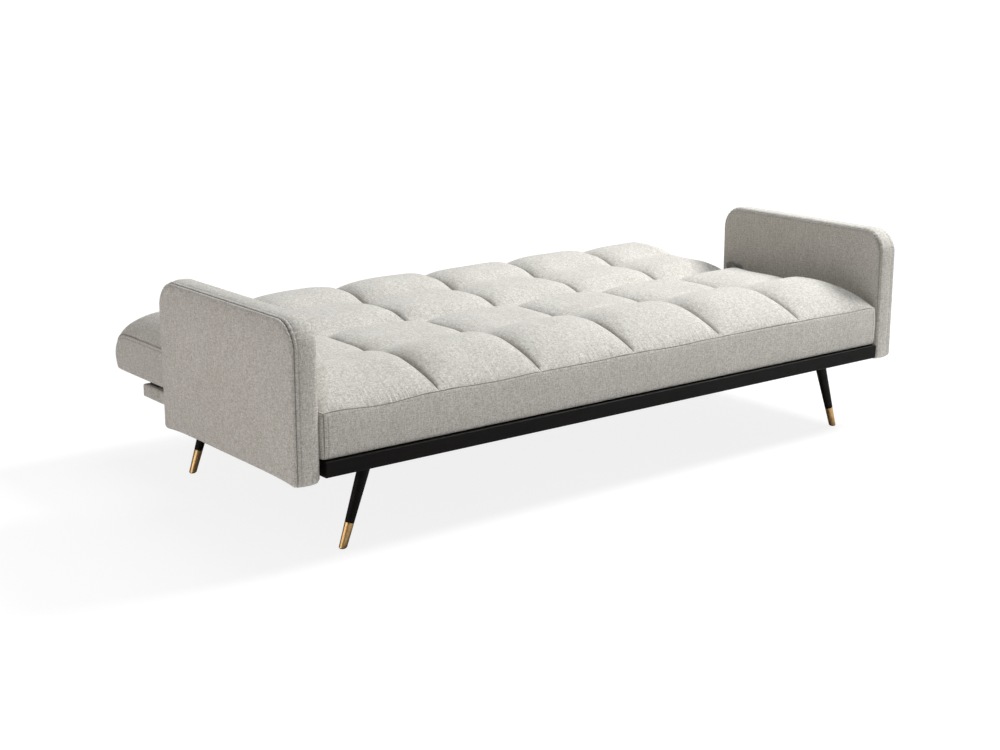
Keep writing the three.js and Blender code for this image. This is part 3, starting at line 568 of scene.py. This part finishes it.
def cushion(name, depth, tuft_v, turned, crests, sags, seed):
    steps = eased_steps(STEPS_ACROSS, ACROSS_EASE)[:-1]
    xs = np.concatenate([-TOP_HALF + COLUMN * (c + steps) for c in range(COLUMNS)] + [[TOP_HALF]])
    back = depth - tuft_v
    row_a = tuft_v * eased_steps(round(tuft_v / STEP), ALONG_EASE)
    row_b = tuft_v + back * eased_steps(round(back / STEP), ALONG_EASE)[1:]
    vs = np.concatenate([row_a, row_b])
    nx, nv = len(xs), len(vs)
    gx, gv = np.meshgrid(xs, vs)
    edge = np.minimum(np.exp(-((gv / 0.03) ** 2)) + np.exp(-(((TOP_HALF - np.abs(gx)) / 0.03) ** 2)), 1)
    slopes = (4.0, 3.0) if turned else (3.0, 4.0)
    gz = RIM_Z + pillow_height(gx, gv, depth, tuft_v, crests, slopes, seed)
    gz = gz + uneven(gx + 3 * gv, 0 * gx, RIM_LUMPS, seed + 5) * edge
    # The free edge's seam hangs a little between the column seams
    t = np.clip((gx + TOP_HALF) / COLUMN, 0, COLUMNS - 1e-6)
    gz = gz - sags[t.astype(int)] * np.sin(np.pi * (t % 1)) ** 2 * np.exp(-gv / 0.05)
    verts = [np.stack([gx, gv, gz], -1).reshape(-1, 3)]
    ids = np.arange(nx * nv).reshape(nv, nx)
    faces, cloth, stitch = [], [], []
    pull = np.clip(0.38 + 0.55 * smooth_noise(xs, xs * 0, 0.16, seed + 3), 0.08, 0.8)
    pull = pull + 0.75 * np.exp(-(((xs + 0.74) / 0.11) ** 2))
    for j in range(nv - 1):
        for i in range(nx - 1):
            corner = ((j, i), (j, i + 1), (j + 1, i + 1), (j + 1, i))
            faces.append([ids[c] for c in corner])
            mid_x, mid_v = (xs[i] + xs[i + 1]) / 2, (vs[j] + vs[j + 1]) / 2
            to_end, to_free, to_joint = TOP_HALF - abs(mid_x), mid_v, depth - mid_v
            line = seam_lines(mid_x)
            if min(to_end, to_free, to_joint) > EDGE_SEAM_REACH and abs(line) < COLUMN_SEAM_REACH:
                use = "column"
            elif to_end < min(to_free, to_joint):
                use = "end"
            else:
                use = "free" if to_free < to_joint else "joint"
            for c in corner:
                x, v = xs[c[1]], vs[c[0]]
                gather = pull[c[1]] * math.exp(-v / 0.030) + 0.5 * math.exp(-(TOP_HALF - abs(x)) / 0.02)
                gather = max(gather, 0.45 * math.exp(-abs(seam_lines(x)) / 0.016))
                cloth.append((x, v, gather))
                away = {"column": abs(seam_lines(x)), "end": TOP_HALF - abs(x), "free": v, "joint": depth - v}[use]
                # Column seams are kind 3, which paints shade beside their creases; the other top seams get painted
                # groove shade only
                stitch.append((v if use in ("column", "end") else x, -away, 3.0 if use == "column" else 1.0))
    # Boxing rings from the rim down to the bottom edge
    ring = [(0, i) for i in range(nx - 1)] + [(j, nx - 1) for j in range(nv - 1)]
    ring += [(nv - 1, i) for i in range(nx - 1, 0, -1)] + [(j, 0) for j in range(nv - 1, 0, -1)]
    top = np.array([verts[0][ids[c]] for c in ring])
    out = np.zeros((len(ring), 3))
    for k, (j, i) in enumerate(ring):
        out[k, 0] = -1 if i == 0 else 1 if i == nx - 1 else 0
        out[k, 1] = -1 if j == 0 else 0
    length = np.concatenate([[0], np.cumsum(np.linalg.norm(np.diff(top[:, :2], axis=0), axis=1))])
    n0, n1, n2 = nx - 1, nx - 1 + nv - 1, 2 * (nx - 1) + nv - 1
    panel_of = np.zeros(len(ring), int)
    panel_of[n0:n1], panel_of[n1:n2], panel_of[n2:] = 1, 2, 3
    panel_length = [2 * TOP_HALF, depth, 2 * TOP_HALF, depth]
    panel_start = [length[0], length[n0], length[n1], length[n2]]
    upper, upper_z = np.array([ids[c] for c in ring]), top[:, 2]
    count = nx * nv
    free_side = (panel_of != 2).astype(float)
    for level in range(1, BOXING_LEVELS + 1):
        s = level / BOXING_LEVELS
        bulge = BULGE * np.sin(np.pi * s) ** 0.7
        ripple = 0.0008 * smooth_noise(length, np.full_like(length, s * 0.10), 0.07, seed + 9) * np.sin(np.pi * s)
        place = top + out * (bulge + ripple * free_side)[:, None]
        place[:, 2] = top[:, 2] + (CUSHION_BOTTOM - top[:, 2]) * s
        verts.append(place)
        lower = count + np.arange(len(ring))
        count += len(ring)
        for k in range(len(ring)):
            m = (k + 1) % len(ring)
            faces.append([upper[k], lower[k], lower[m], upper[m]])
            panel = panel_of[k]
            r0 = length[k] - panel_start[panel]
            r1 = r0 + (length[m] - length[k] if m else panel_length[panel] - r0)
            middle = (r0 + r1) / 2
            to_corner = min(middle, panel_length[panel] - middle) - CORNER_SEAM
            at_rim = RIM_Z - (upper_z[k] + place[k, 2]) / 2 < abs(to_corner)
            # The kind sets the painted groove shade, and from 1 to 2 the second stitched line with painted shade in
            # its dip and holes
            strong = 1.3 if panel == 0 else 2.0
            for r, z in ((r0, upper_z[k]), (r0, place[k, 2]), (r1, place[m, 2]), (r1, upper_z[m])):
                cloth.append((r + 7 * panel, RIM_Z - z + 3, 0.25 * math.exp(-(RIM_Z - z) / 0.02)))
                if at_rim:
                    stitch.append((r, RIM_Z - z, strong))
                else:
                    away = min(r, panel_length[panel] - r) - CORNER_SEAM
                    stitch.append((z, away, 2.0 if panel == 0 and abs(to_corner) < 0.05 else 0))
        upper, upper_z = lower, place[:, 2]
    # A skirt under the edge, and the recess for the frame above it
    inner = verts[-1].copy()
    inner[:, 0] = np.clip(inner[:, 0], -TOP_HALF + SKIRT, TOP_HALF - SKIRT)
    inner[:, 1] = np.clip(inner[:, 1], SKIRT, depth - SKIRT)
    roof = inner.copy()
    roof[:, 2] = RECESS_Z
    for level in (inner, roof):
        verts.append(level)
        lower = count + np.arange(len(ring))
        count += len(ring)
        for k in range(len(ring)):
            m = (k + 1) % len(ring)
            faces.append([upper[k], lower[k], lower[m], upper[m]])
            for _ in range(4):
                cloth.append((length[k], 5.0, 0))
                stitch.append((0, 0.05, 0))
        upper = lower
    points = np.concatenate(verts)
    pins = np.zeros(len(points))
    joint_face = np.abs(points[:, 1] - depth) < 1e-4
    on_line = np.abs(seam_lines(points[:nx * nv, 0])) < 1e-3
    rim_points = np.zeros(nx * nv, bool)
    rim_points[[ids[c] for c in ring]] = True
    pins[:nx * nv] = np.where(on_line | rim_points, 1.0, 0.03)
    boxing_end = nx * nv + BOXING_LEVELS * len(ring)
    pins[nx * nv:boxing_end] = 0.05
    pins[boxing_end - len(ring):] = 1.0
    pins[joint_face] = 1.0
    obj = sewn_object(name, swell(points, turned), faces, cloth, stitch)
    inflate(obj, pins, 0.007)
    round_corners(obj, TOP_HALF + (BACK_SWELL if turned else SEAT_SWELL))
    # The pinched seams stay sharp when the mesh is refined
    held = np.zeros(len(points), bool)
    held[:nx * nv] = (on_line & (np.abs(gv.ravel() - depth / 2) < depth / 2 - 0.010))
    ends = np.array([e.vertices[:] for e in obj.data.edges])
    crease = obj.data.attributes.new("crease_edge", "FLOAT", "EDGE")
    crease.data.foreach_set("value", (held[ends[:, 0]] & held[ends[:, 1]]).astype(np.float32))
    obj.modifiers.new("Subdivision", "SUBSURF").levels = 1
    apply_modifiers(obj)
    close_hole(obj)
    place = Matrix.Translation((0, -ORIGIN_Y, 0))
    if turned:
        place = Matrix.Translation((0, BED_REAR - ORIGIN_Y, 0)) @ Matrix.Rotation(math.pi, 4, "Z")
    obj.data.transform(place)
    return obj


seat_crests = np.array([[0.403, 0.409, 0.409, 0.412, 0.412, 0.409], [0.393, 0.394, 0.392, 0.394, 0.393, 0.394]])
back_crests = np.array([[0.415, 0.417, 0.415, 0.417, 0.415, 0.409], [0.395, 0.394, 0.396, 0.395, 0.394, 0.395]])
seat_sags = np.array([0.0070, 0.0045, 0.0015, 0.0030, 0.0012, 0.0020])
back_sags = np.array([0.0030, 0.0020, 0.0035, 0.0015, 0.0025, 0.0040])
seat_cushion = cushion("seat_pillow", SEAT_DEPTH, SEAT_TUFT_V, False, seat_crests, seat_sags, 21)
back_cushion = cushion("back_pillow", BACK_DEPTH, BACK_TUFT_V, True, back_crests, back_sags, 57)
for piece, body, node in ((seat_cushion, "seat", "seat_cushion"), (back_cushion, "back", "back_cushion")):
    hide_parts(node)
    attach(piece, body)


# ---- arms: a side panel each way, and a boxing strip round the edge with a double-stitched seam at both sides
def arm_outline():
    """Closed outline of points (y, z), outward normals, and how much each point lies on a top corner."""
    y0, y1, z0, z1 = 0.0, ARM_DEPTH, ARM_BOTTOM, ARM_TOP
    corners = [(y0, z0, ARM_FOOT_CORNER, 270), (y0, z1, ARM_CORNER, 180),
               (y1, z1, ARM_CORNER, 90), (y1, z0, ARM_FOOT_CORNER, 0)]
    points, normals, bend = [], [], []
    for index, (y, z, radius, start) in enumerate(corners):
        cy = y + radius if y == y0 else y - radius
        cz = z + radius if z == z0 else z - radius
        count = max(4, int(math.ceil(radius * math.pi / 2 / (0.0026 if z == z1 else ARM_STEP))))
        for k in range(count + 1):
            turn = math.radians(start - 90 * k / count)
            normals.append((math.cos(turn), math.sin(turn)))
            points.append((cy + radius * math.cos(turn), cz + radius * math.sin(turn)))
            bend.append(math.sin(math.pi * k / count) ** 0.5 if index in (1, 2) else 0.0)
        following = corners[(index + 1) % 4]
        end_y, end_z, reach, _ = following
        if end_z == z:
            end_y += reach if end_y == y0 else -reach
        if following[0] == y:
            end_z += reach if end_z == z0 else -reach
        last = np.array(points[-1])
        goal = np.array((end_y, end_z))
        span = max(2, int(round(np.linalg.norm(goal - last) / ARM_STEP)))
        for k in range(1, span):
            points.append(tuple(last + (goal - last) * k / span))
            normals.append(normals[-1])
            bend.append(0.0)
    return np.array(points), np.array(normals), np.array(bend)


def arm_cover(name, side, seed):
    outline, normal, bend = arm_outline()
    n = len(outline)
    run = np.concatenate([[0], np.cumsum(np.linalg.norm(np.diff(outline, axis=0), axis=1))])
    total = run[-1] + np.linalg.norm(outline[0] - outline[-1])
    width = ARM_OUT - ARM_IN
    rows = np.array([0, 0.0010, 0.0032, 0.0062, SEAM_IN, 0.0120, 0.0150, SEAM_IN + SECOND_LINE, 0.0235, 0.0285,
                     width / 2, 0.0400, 0.0460, 0.0520, 0.0575, 0.0610, width - INNER_SEAM, 0.0662,
                     width - 0.0007, width])
    verts, faces, cloth, stitch = [], [], [], []
    for u in rows:
        from_side = min(u, width - u)
        inset = ARM_EDGE - math.sqrt(max(ARM_EDGE ** 2 - max(ARM_EDGE - from_side, 0) ** 2, 0))
        seam_at = SEAM_IN if u < width / 2 else INNER_SEAM
        second_at = SECOND_LINE if u < width / 2 else SECOND_LINE / INNER_SCALE
        strip = max(from_side - seam_at, 0) / (width / 2 - seam_at)
        crown = 0.0014 * math.sin(strip * math.pi / 2) ** 0.8
        dip = (0.0020 if u < width / 2 else 0.0012) * math.exp(-(((from_side - seam_at) / 0.0016) ** 2))
        dip += 0.0006 * math.exp(-(((from_side - seam_at - second_at) / 0.0018) ** 2))
        pucker = math.exp(-(((from_side - seam_at - 0.003) / 0.006) ** 2))
        wave = np.sin(run * 2 * math.pi / 0.0125 + 2.5 * smooth_noise(run, run * 0, 0.03, seed)) * pucker * bend
        lumps = 0.0007 * smooth_noise(run, np.full(n, u), 0.05, seed + 1) * strip
        slump = 0.0040 * max(1 - u / 0.030, 0) ** 0.7 * np.clip(normal[:, 1] * 1.6, 0, 1)
        shift = -inset - dip * (1 + 0.9 * bend) + crown + 0.0014 * wave + lumps - slump
        place = outline + normal * shift[:, None]
        verts.append(np.column_stack([np.full(n, ARM_OUT - u), place]))
    for r in range(len(rows) - 1):
        for k in range(n):
            m = (k + 1) % n
            faces.append([r * n + k, r * n + m, (r + 1) * n + m, (r + 1) * n + k])
            r0, r1 = run[k], run[m] if m else total
            middle = (rows[r] + rows[r + 1]) / 2
            under = outline[k, 1] < ARM_BOTTOM + 0.001 and outline[m, 1] < ARM_BOTTOM + 0.001
            for at, edge_run, u in ((k, r0, rows[r]), (m, r1, rows[r]), (m, r1, rows[r + 1]), (k, r0, rows[r + 1])):
                away = u - SEAM_IN if middle < width / 2 else (width - u - INNER_SEAM) * INNER_SCALE
                near = math.exp(-abs(away) / 0.010)
                cloth.append((u + 11, edge_run, near * (0.35 + 0.9 * bend[at])))
                # The kind sets the painted shade: groove at the seam, second line with its dip and holes from 2, and
                # on the right arm's inner seam (2.5) half the painted crease shade
                kind = 0.0 if under else 2.0 if middle < width / 2 else 1.6 + side * 0.9
                stitch.append((edge_run, away, kind))
    count = len(rows) * n
    pins = [np.full(count, 1.0)]
    # Side panels: the first ring of rows is the outer one, the last the inner one
    for ring_row, outward, step in ((0, 1, 0.0065), (len(rows) - 1, -1, 0.013)):
        ring = verts[ring_row][:, 1:]
        gy, gz, odd = [], [], 0
        z = ARM_BOTTOM + ARM_EDGE + step * 0.8
        while z < ARM_TOP - ARM_EDGE - step * 0.6:
            for y in np.arange(ARM_EDGE + step * (0.8 + 0.5 * odd), ARM_DEPTH - ARM_EDGE - step * 0.6, step):
                cy = max(ARM_CORNER - min(y, ARM_DEPTH - y), 0)
                cz = max(ARM_CORNER - (ARM_TOP - z), 0)
                if math.hypot(cy, cz) < ARM_CORNER - ARM_EDGE - step * 0.6:
                    gy.append(y)
                    gz.append(z)
            z += step * 0.866
            odd = 1 - odd
        flat = [Vector(p) for p in ring] + [Vector(p) for p in zip(gy, gz)]
        out_verts, _, out_faces, originals, _, _ = delaunay_2d_cdt(flat, [], [list(range(n))], 1, 1e-6, True)
        number = {}
        fresh = []
        for index, source in enumerate(originals):
            if source and source[0] < n:
                number[index] = ring_row * n + source[0]
            else:
                number[index] = count + len(fresh)
                fresh.append(out_verts[index])
        y, z = np.array([tuple(p) for p in fresh]).T
        cy = np.maximum(ARM_CORNER - np.minimum(y, ARM_DEPTH - y), 0)
        cz = np.maximum(ARM_CORNER - (ARM_TOP - z), 0)
        deep = np.where((cy > 0) & (cz > 0), ARM_CORNER - np.hypot(cy, cz),
                        np.minimum(np.minimum(y, ARM_DEPTH - y), np.minimum(ARM_TOP - z, z - ARM_BOTTOM)))
        soft = 1 - np.exp(-np.maximum(deep - ARM_EDGE, 0) / 0.03)
        lumps = 0.0006 * smooth_noise(y, z, 0.09, seed + 3) * soft
        x = ARM_OUT + 0.0012 * soft + lumps if outward > 0 else ARM_IN + 0.0004 * soft
        verts.append(np.column_stack([x, y, z]))
        pins.append(np.where(deep < ARM_EDGE + 0.004, 0.6, 0.06) if outward > 0 else np.full(len(y), 1.0))
        every = np.concatenate(verts)
        depth_in = np.concatenate([np.full(count, ARM_EDGE), deep])
        for face in out_faces:
            chain = [number[i] for i in face]
            a, b, c = (every[i] for i in chain[:3])
            if (np.cross(b - a, c - a)[0] > 0) != (outward > 0):
                chain = chain[::-1]
            faces.append(chain)
            for i in chain:
                fold = 0.0
                if outward > 0 and every[i][2] > ARM_TOP - ARM_CORNER - 0.03:
                    fy = min(every[i][1], ARM_DEPTH - every[i][1])
                    turn = math.atan2(ARM_CORNER - fy, every[i][2] - ARM_TOP + ARM_CORNER)
                    fold = 1.15 * math.exp(-(depth_in[i] - ARM_EDGE) / 0.014) * math.exp(-((fy - 0.018) / 0.045) ** 2)
                    fold *= min((every[i][2] - ARM_TOP + ARM_CORNER + 0.03) / 0.03, 1)
                    stitch.append((turn * ARM_CORNER, -0.05 - depth_in[i], 0))
                else:
                    stitch.append((0, -0.05, 0))
                cloth.append((every[i][1] + 20, every[i][2], fold))
        count += len(fresh)
    points = np.concatenate(verts)
    obj = sewn_object(name, points, faces, cloth, stitch)
    inflate(obj, np.concatenate(pins), 0.0025, frames=14, pressure=1.2, grow=0.004)
    points = get_points(obj.data)
    # The lower edge of the outer panel arches up between drooping corners
    along = np.abs(2 * points[:, 1] / ARM_DEPTH - 1)
    outer = np.clip((points[:, 0] - ARM_CORE_FACE) / (ARM_OUT - ARM_CORE_FACE), 0, 1)
    low = np.exp(-np.maximum(points[:, 2] - ARM_BOTTOM, 0) / 0.05)
    droop = np.where((points[:, 1] < ARM_DEPTH / 2) & (side > 0), 0.0015, 0.0070)
    points[:, 2] += low * (outer * 0.0010 * (1 - along ** 4) - droop * along ** 6)
    points[:, 0] *= side
    points[:, 1] -= ORIGIN_Y
    if side < 0:
        obj.data.flip_normals()
    set_points(obj, points)
    return obj


for word, side, seed in (("left", -1, 71), ("right", 1, 83)):
    cover = arm_cover(word + "_arm_cover", side, seed)
    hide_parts(word + "_arm_upholstery")
    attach(cover, "base")


# ---- base rails wrapped in the same cloth
def wrapped_rail(name, low, high, axis, seed, radius=0.0045):
    """A bar with rounded edges, with the cloth pulled slightly uneven along it."""
    a, b = [k for k in range(3) if k != axis]
    size = np.array(high) - np.array(low)
    section = []
    for ca, cb, start in ((1, 1, 0), (0, 1, 90), (0, 0, 180), (1, 0, 270)):
        for k in range(6):
            turn = math.radians(start + 18 * k)
            section.append((ca, cb, math.cos(turn), math.sin(turn)))
    points = []
    middle = np.linspace(radius, size[axis] - radius, int(size[axis] / 0.02) + 2)[1:-1]
    places = [0, 0.0006, 0.0018, radius] + list(middle)
    places += [size[axis] - radius, size[axis] - 0.0018, size[axis] - 0.0006, size[axis]]
    for at in places:
        near = min(at, size[axis] - at)
        shrink = radius - math.sqrt(max(radius ** 2 - max(radius - near, 0) ** 2, 0))
        for ca, cb, na, nb in section:
            p = np.zeros(3)
            p[axis] = low[axis] + at
            pull = 0.0004 * math.sin(at * 97 + 3 * na + seed) * math.sin(at * 41 + 2 * nb)
            r = radius - shrink
            p[a] = low[a] + (size[a] - radius if ca else radius) + na * max(r + min(pull, 0), 0.0)
            p[b] = low[b] + (size[b] - radius if cb else radius) + nb * max(r + min(pull, 0), 0.0)
            points.append(p)
    sides = len(section)
    faces = ring_quads(len(places), sides)
    faces.append(list(range(sides))[::-1])
    faces.append([(len(places) - 1) * sides + k for k in range(sides)])
    obj = make_object(name, points, faces, wrap_cloth)
    bm = bmesh.new()
    bm.from_mesh(obj.data)
    face_outward(bm)
    bm.to_mesh(obj.data)
    bm.free()
    return obj


for node, axis in (("rear_rail", 0), ("left_side_rail", 1), ("right_side_rail", 1)):
    low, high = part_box(node)
    cover = wrapped_rail(node + "_wrapped", low, high, axis, len(node))
    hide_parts(node)
    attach(cover, "base")


# ---- turned legs, ferrules and glides
def turned(name, rings, side, foot_y, flat_low=None, flat_high=None):
    """A turned form on the splayed leg axis from (distance along the axis, radius), cut level at two heights."""
    points, sides = [], 56
    sine, cosine = math.sin(LEG_SPLAY), math.cos(LEG_SPLAY)
    for distance, radius in rings:
        for k in range(sides):
            turn = 2 * math.pi * k / sides
            p = Vector((radius * math.cos(turn), radius * math.sin(turn), distance))
            x, z = p.x * cosine - p.z * sine, p.x * sine + p.z * cosine
            for flat, under in ((flat_low, True), (flat_high, False)):
                if flat is not None and (z < flat if under else z > flat):
                    slide = (flat - z) / cosine
                    x, z = x - slide * sine, flat
            points.append((side * (FOOT_X + x), foot_y + p.y, z))
    faces = ring_quads(len(rings), sides)
    faces.append(list(range(sides)))
    faces.append([(len(rings) - 1) * sides + k for k in range(sides)])
    obj = make_object(name, points, faces)
    bm = bmesh.new()
    bm.from_mesh(obj.data)
    face_outward(bm)
    bm.faces.ensure_lookup_table()
    bm.faces[-1].smooth = bm.faces[-2].smooth = False
    for edge in bm.edges:
        if len(edge.link_faces) == 2 and edge.calc_face_angle() > math.radians(35):
            edge.smooth = False
    bm.to_mesh(obj.data)
    bm.free()
    return obj


def leg_radius(distance):
    return LEG_FOOT_RADIUS + (LEG_TOP_RADIUS - LEG_FOOT_RADIUS) * distance / LEG_LENGTH


for row, foot_y in (("front", FRONT_FOOT_Y), ("rear", REAR_FOOT_Y)):
    for word, side in (("left", -1), ("right", 1)):
        label = row + "_" + word
        stop = FERRULE_TOP / math.cos(LEG_SPLAY)
        wood = [(stop + 0.0002, leg_radius(stop) - 0.0009), (stop + 0.0004, leg_radius(stop) - 0.0003)]
        wood += [(d, leg_radius(d)) for d in np.linspace(stop + 0.0012, LEG_LENGTH + 0.004, 40)]
        leg = turned(label + "_turned_leg", wood, side, foot_y, flat_high=LEG_TOP_Z)
        tip = [(-0.006, leg_radius(0) - 0.0008), (0.0, leg_radius(0))]
        tip += [(d, leg_radius(d)) for d in np.linspace(0.004, stop - 0.0012, 14)]
        tip += [(stop - 0.0005, leg_radius(stop) - 0.0001), (stop, leg_radius(stop) - 0.0006)]
        sleeve = turned(label + "_brass_tip", tip, side, foot_y, flat_low=0.0023)
        around = [2 * math.pi * k / GLIDE_SIDES for k in range(GLIDE_SIDES)]
        disc = [(side * FOOT_X + r * math.cos(a), foot_y + r * math.sin(a), z) for z, r in GLIDE_RINGS for a in around]
        caps = [list(range(GLIDE_SIDES))[::-1], list(range(len(disc) - GLIDE_SIDES, len(disc)))]
        foot = make_object(label + "_foot_glide", disc, ring_quads(len(GLIDE_RINGS), GLIDE_SIDES) + caps)
        for piece, look, slot, node in ((leg, lacquer, "black_lacquer", "_leg"),
                                        (sleeve, brass, "brass_tip", "_ferrule"), (foot, rubber, "rubber", "_glide")):
            piece.data.materials.append(look)
            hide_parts(label + node)
            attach(piece, "base")


# ---- small fixings: pan-head screws under the leg plates, and staples round the dust covers
def screw_heads(name, places, radius=0.0034, height=0.0016):
    points, faces, sides = [], [], 20
    around = [(math.cos(2 * math.pi * k / sides), math.sin(2 * math.pi * k / sides)) for k in range(sides)]
    rings = ((0, 1), (0.5, 0.96), (0.85, 0.75), (1, 0.42), (0.7, 0.34), (0.45, 0.12))
    for x, y, z in places:
        start = len(points)
        for down, wide in rings:
            points += [(x + radius * wide * a, y + radius * wide * b, z - height * down) for a, b in around]
        faces += [face[::-1] for face in ring_quads(len(rings), sides, start)]
        faces.append([start + 5 * sides + k for k in range(sides)][::-1])
    return make_object(name, points, faces, zinc)


screws = []
for label in ("front_left", "front_right", "rear_left", "rear_right"):
    low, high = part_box(label + "_leg_plate")
    for x in (low[0] + 0.0085, high[0] - 0.0085):
        for y in (low[1] + 0.0085, high[1] - 0.0085):
            screws.append((x, y, low[2]))
screw_piece = screw_heads("leg_plate_screws", screws)
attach(screw_piece, "base")


def dust_sheet(half, seed):
    """Thin non-woven cloth stretched under one half's frame, with pulls at its staples."""
    low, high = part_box(half + "_dust_cover")
    width, length = high[0] - low[0], high[1] - low[1]
    nx, ny = 121, 41
    gx, gy = np.meshgrid(np.linspace(0, 1, nx), np.linspace(0, 1, ny))
    edge_x, edge_y = np.minimum(gx, 1 - gx) * width, np.minimum(gy, 1 - gy) * length
    sag = 0.0026 * (1 - (2 * gx - 1) ** 2) * (1 - (2 * gy - 1) ** 2)
    pulls = 0.0005 * np.sin(gx * width * 2 * math.pi / STAPLE_STEP) * np.exp(-edge_y / 0.03)
    pulls += 0.0005 * np.sin(gy * length * 2 * math.pi / STAPLE_STEP) * np.exp(-edge_x / 0.03)
    creases = 0.0005 * smooth_noise(gx * width, gy * length, 0.13, seed)
    creases = creases * np.minimum(edge_x, edge_y).clip(0, 0.03) / 0.03
    gz = high[2] - 0.0003 - sag - np.abs(pulls) - np.abs(creases)
    verts = np.stack([low[0] + gx * width, low[1] + gy * length, gz], -1).reshape(-1, 3)
    faces = [[j * nx + i, (j + 1) * nx + i, (j + 1) * nx + i + 1, j * nx + i + 1]
             for j in range(ny - 1) for i in range(nx - 1)]
    cover = make_object(half + "_dust_sheet", verts, faces, dust_cloth)
    points, quads = [], []
    steps = [(x, y, 0) for x in np.arange(low[0] + 0.03, high[0] - 0.02, STAPLE_STEP)
             for y in (low[1] + 0.008, high[1] - 0.008)]
    steps += [(x, y, 1) for y in np.arange(low[1] + 0.04, high[1] - 0.03, STAPLE_STEP)
              for x in (low[0] + 0.008, high[0] - 0.008)]
    for x, y, across in steps:
        start = len(points)
        long, thin = 0.0052, 0.0006
        a, b = (thin, long) if across else (long, thin)
        for z, grow in ((high[2] + 0.0002, 1.0), (low[2] - 0.0002, 1.0), (low[2] - 0.0006, 0.7)):
            points += [(x - a * grow, y - b * grow, z), (x + a * grow, y - b * grow, z),
                       (x + a * grow, y + b * grow, z), (x - a * grow, y + b * grow, z)]
        quads += [face[::-1] for face in ring_quads(3, 4, start)]
        quads.append([start + 8, start + 11, start + 10, start + 9])
    staples = make_object(half + "_staples", points, quads, zinc, smooth=False)
    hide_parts(half + "_dust_cover")
    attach(cover, half)
    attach(staples, half)


dust_sheet("seat", 5)
dust_sheet("back", 6)


# ---- camera, light and ground
camera_data = bpy.data.cameras.new("camera")
camera_data.lens = CAMERA_LENS
camera_data.sensor_width = 36.0
camera = bpy.data.objects.new("camera", camera_data)
camera.location = CAMERA_PLACE
camera.rotation_euler = (math.radians(90 - CAMERA_DOWN), 0, math.radians(CAMERA_TURN))
link(camera)
bpy.context.scene.camera = camera


def area_light(name, place, target, size, power, colour):
    data = bpy.data.lights.new(name, "AREA")
    data.shape = "RECTANGLE"
    data.size, data.size_y = size
    data.energy = power
    data.color = colour
    lamp = bpy.data.objects.new(name, data)
    lamp.location = place
    lamp.rotation_euler = (Vector(target) - Vector(place)).to_track_quat("-Z", "Y").to_euler()
    link(lamp)


area_light("key", (3.9, -0.95, 4.5), (0.1, 0, 0.4), (1.6, 1.6), 345, (0.985, 1.0, 1.0))
area_light("top", (0.7, 0.1, 4.4), (0, 0, 0.4), (2.6, 2.6), 66, (0.91, 1.0, 1.06))
area_light("side", (-2.3, -0.1, 0.30), (-0.97, -0.1, 0.34), (1.6, 0.4), 5.6, (1.0, 0.955, 0.935))

world = bpy.data.worlds.new("studio")
bpy.context.scene.world = world
world.use_nodes = True
tree = world.node_tree
tree.nodes.clear()
path = tree.nodes.new("ShaderNodeLightPath")
choose = tree.nodes.new("ShaderNodeMixShader")
tree.links.new(path.outputs["Is Camera Ray"], choose.inputs[0])
# The light on the object, and the white that the camera sees
for socket, colour, strength in ((1, rgb(1.0, 0.93, 0.90), 0.215), (2, rgb(1, 1, 1), 1.0)):
    background = tree.nodes.new("ShaderNodeBackground")
    background.inputs["Color"].default_value = colour
    background.inputs["Strength"].default_value = strength
    tree.links.new(background.outputs[0], choose.inputs[socket])
tree.links.new(choose.outputs[0], tree.nodes.new("ShaderNodeOutputWorld").inputs["Surface"])

floor = make_object("floor", [(-90, -90, 0), (90, -90, 0), (90, 90, 0), (-90, 90, 0)], [(0, 1, 2, 3)])
ground = Nodes("ground")
ground.feed(ground.shader, Base_Color=rgb(0.86, 0.86, 0.86), Roughness=0.9, Specular_IOR_Level=0.1)
glow = ground.feed(ground.add("Emission"), Color=rgb(1, 1, 1), Strength=1.12)
light_path = ground.add("LightPath")
blend = ground.add("MixShader")
spot = ground.add("VectorMath", operation="LENGTH")
ground.wire(ground.object_place(), spot.inputs[0])
far = ground.ramp(spot.outputs["Value"], 1.6, 4.5, 0.76, 1.0)
ground.wire(ground.times(light_path.outputs["Is Camera Ray"], far), blend.inputs[0])
ground.tree.links.new(ground.shader.outputs[0], blend.inputs[1])
ground.tree.links.new(glow.outputs[0], blend.inputs[2])
ground.tree.links.new(blend.outputs[0], ground.output.inputs["Surface"])
floor.data.materials.append(ground.material)

bpy.context.scene.view_settings.view_transform = "Standard"
bpy.context.view_layer.update()
